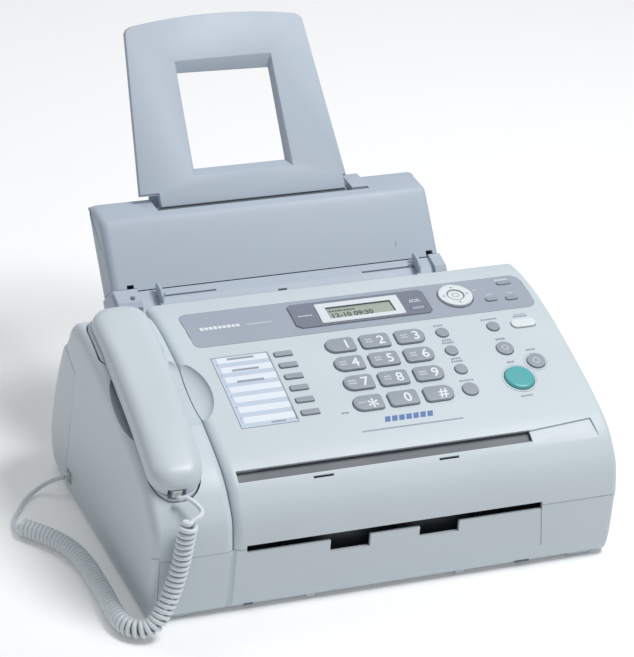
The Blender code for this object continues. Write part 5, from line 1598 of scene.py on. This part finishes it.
# sockets at the rear
bm = bmesh.new()
add_box(bm, (150.6, 111.0, 22.6), (177.4, 113.0, 41.4))
add_box(bm, (96.4, 111.0, 24.4), (108.6, 113.0, 35.6))
add_box(bm, (74.4, 111.0, 24.4), (86.6, 113.0, 35.6))
for x0, x1, z0, z1 in ((149.4, 178.6, 21.4, 42.6), (95.2, 109.8, 23.2, 36.8), (73.2, 87.8, 23.2, 36.8)):
    add_box(bm, (x0, 111.0, z0), (x0 + 1.2, 118.6, z1))
    add_box(bm, (x1 - 1.2, 111.0, z0), (x1, 118.6, z1))
    add_box(bm, (x0 + 1.2, 111.0, z0), (x1 - 1.2, 118.6, z0 + 1.2))
    add_box(bm, (x0 + 1.2, 111.0, z1 - 1.2), (x1 - 1.2, 118.6, z1))
piece("rear_socket_backs", bm, DARK, "base")
bm = bmesh.new()
for x in (158.0, 164.0, 170.0):
    add_box(bm, (x - 0.9, 113.0, 30.0), (x + 0.9, 119.0, 34.0))
for x0 in (98.5, 76.5):
    for k in range(4):
        add_box(bm, (x0 + 1.4 + k * 1.9, 113.0, 32.4), (x0 + 1.9 + k * 1.9, 118.0, 33.0))
piece("rear_socket_pins", bm, BRASS, "base")
# painted shade of the vent slits: dark strips in the shade colour
bm = bmesh.new()
for i in range(9):
    add_box(bm, (-150.0 + i * 9.0, 112.9, 64.0), (-146.6 + i * 9.0, 113.8, 84.0))
vents = piece("rear_vent_shade", bm, SHADE, "base")

#@DETAILS_END@

# ---------------------------------------------------------------- CAD nodes that stay
STAY = {
    "document_feed_roller": RUBBER, "paper_pickup_roller": RUBBER, "fuser_roller": DARK, "paper_exit_roller": RUBBER,
    "drum_cartridge": DARK, "main_board": BOARD, "hook_switch_plunger": DARK, "plug_base": PLUG, "plug_handset": PLUG,
}
for node, made_of in STAY.items():
    obj = frame["nodes"][node]
    for face_slot in obj.material_slots:
        face_slot.link = "OBJECT"
        face_slot.material = made_of
    if not node.endswith("roller"):
        m = obj.modifiers.new("edge", "BEVEL")
        m.width = 0.35 * MM
        m.segments = 2
        m.limit_method = "ANGLE"
        m.angle_limit = math.radians(50)

# ---------------------------------------------------------------- floor and light
floor_mesh = bpy.data.meshes.new("floor")
wide = 6.0
floor_mesh.from_pydata([(-wide, -wide, 0), (wide, -wide, 0), (wide, wide, 0), (-wide, wide, 0)], [], [(0, 1, 2, 3)])
floor = bpy.data.objects.new("floor", floor_mesh)
bpy.context.scene.collection.objects.link(floor)
floor.location.z = -0.0006
floor_look = plastic("look_floor", (0.93, 0.93, 0.93), 0.9, grain=0.0, variation=0.01, edge=0.0, specular=0.15)
floor_surface = floor_look.node_tree.nodes["Principled BSDF"]
floor_surface.inputs["Emission Color"].default_value = (1.0, 1.0, 1.0, 1.0)
floor_surface.inputs["Emission Strength"].default_value = 0.09
floor_mesh.materials.append(floor_look)

world = bpy.data.worlds.new("world")
bpy.context.scene.world = world
world.use_nodes = True
world.node_tree.nodes["Background"].inputs["Color"].default_value = (0.93, 0.97, 1.0, 1.0)
world.node_tree.nodes["Background"].inputs["Strength"].default_value = 0.335


def area(name, place, toward, size, power, color=(1, 1, 1)):
    data = bpy.data.lights.new(name, "AREA")
    data.shape = "DISK"
    data.size = size
    data.energy = power
    data.color = color
    lamp = bpy.data.objects.new(name, data)
    lamp.location = place
    lamp.rotation_euler = (Vector(toward) - Vector(place)).to_track_quat("-Z", "Y").to_euler()
    bpy.context.scene.collection.objects.link(lamp)
    return lamp


area("key_light", (0.9, -0.5, 2.3), (0, 0, 0.1), 1.0, 42.0)
area("top_light", (-0.3, 1.1, 2.1), (0, 0, 0.1), 1.4, 8.0)

bpy.context.scene.view_settings.view_transform = "Standard"
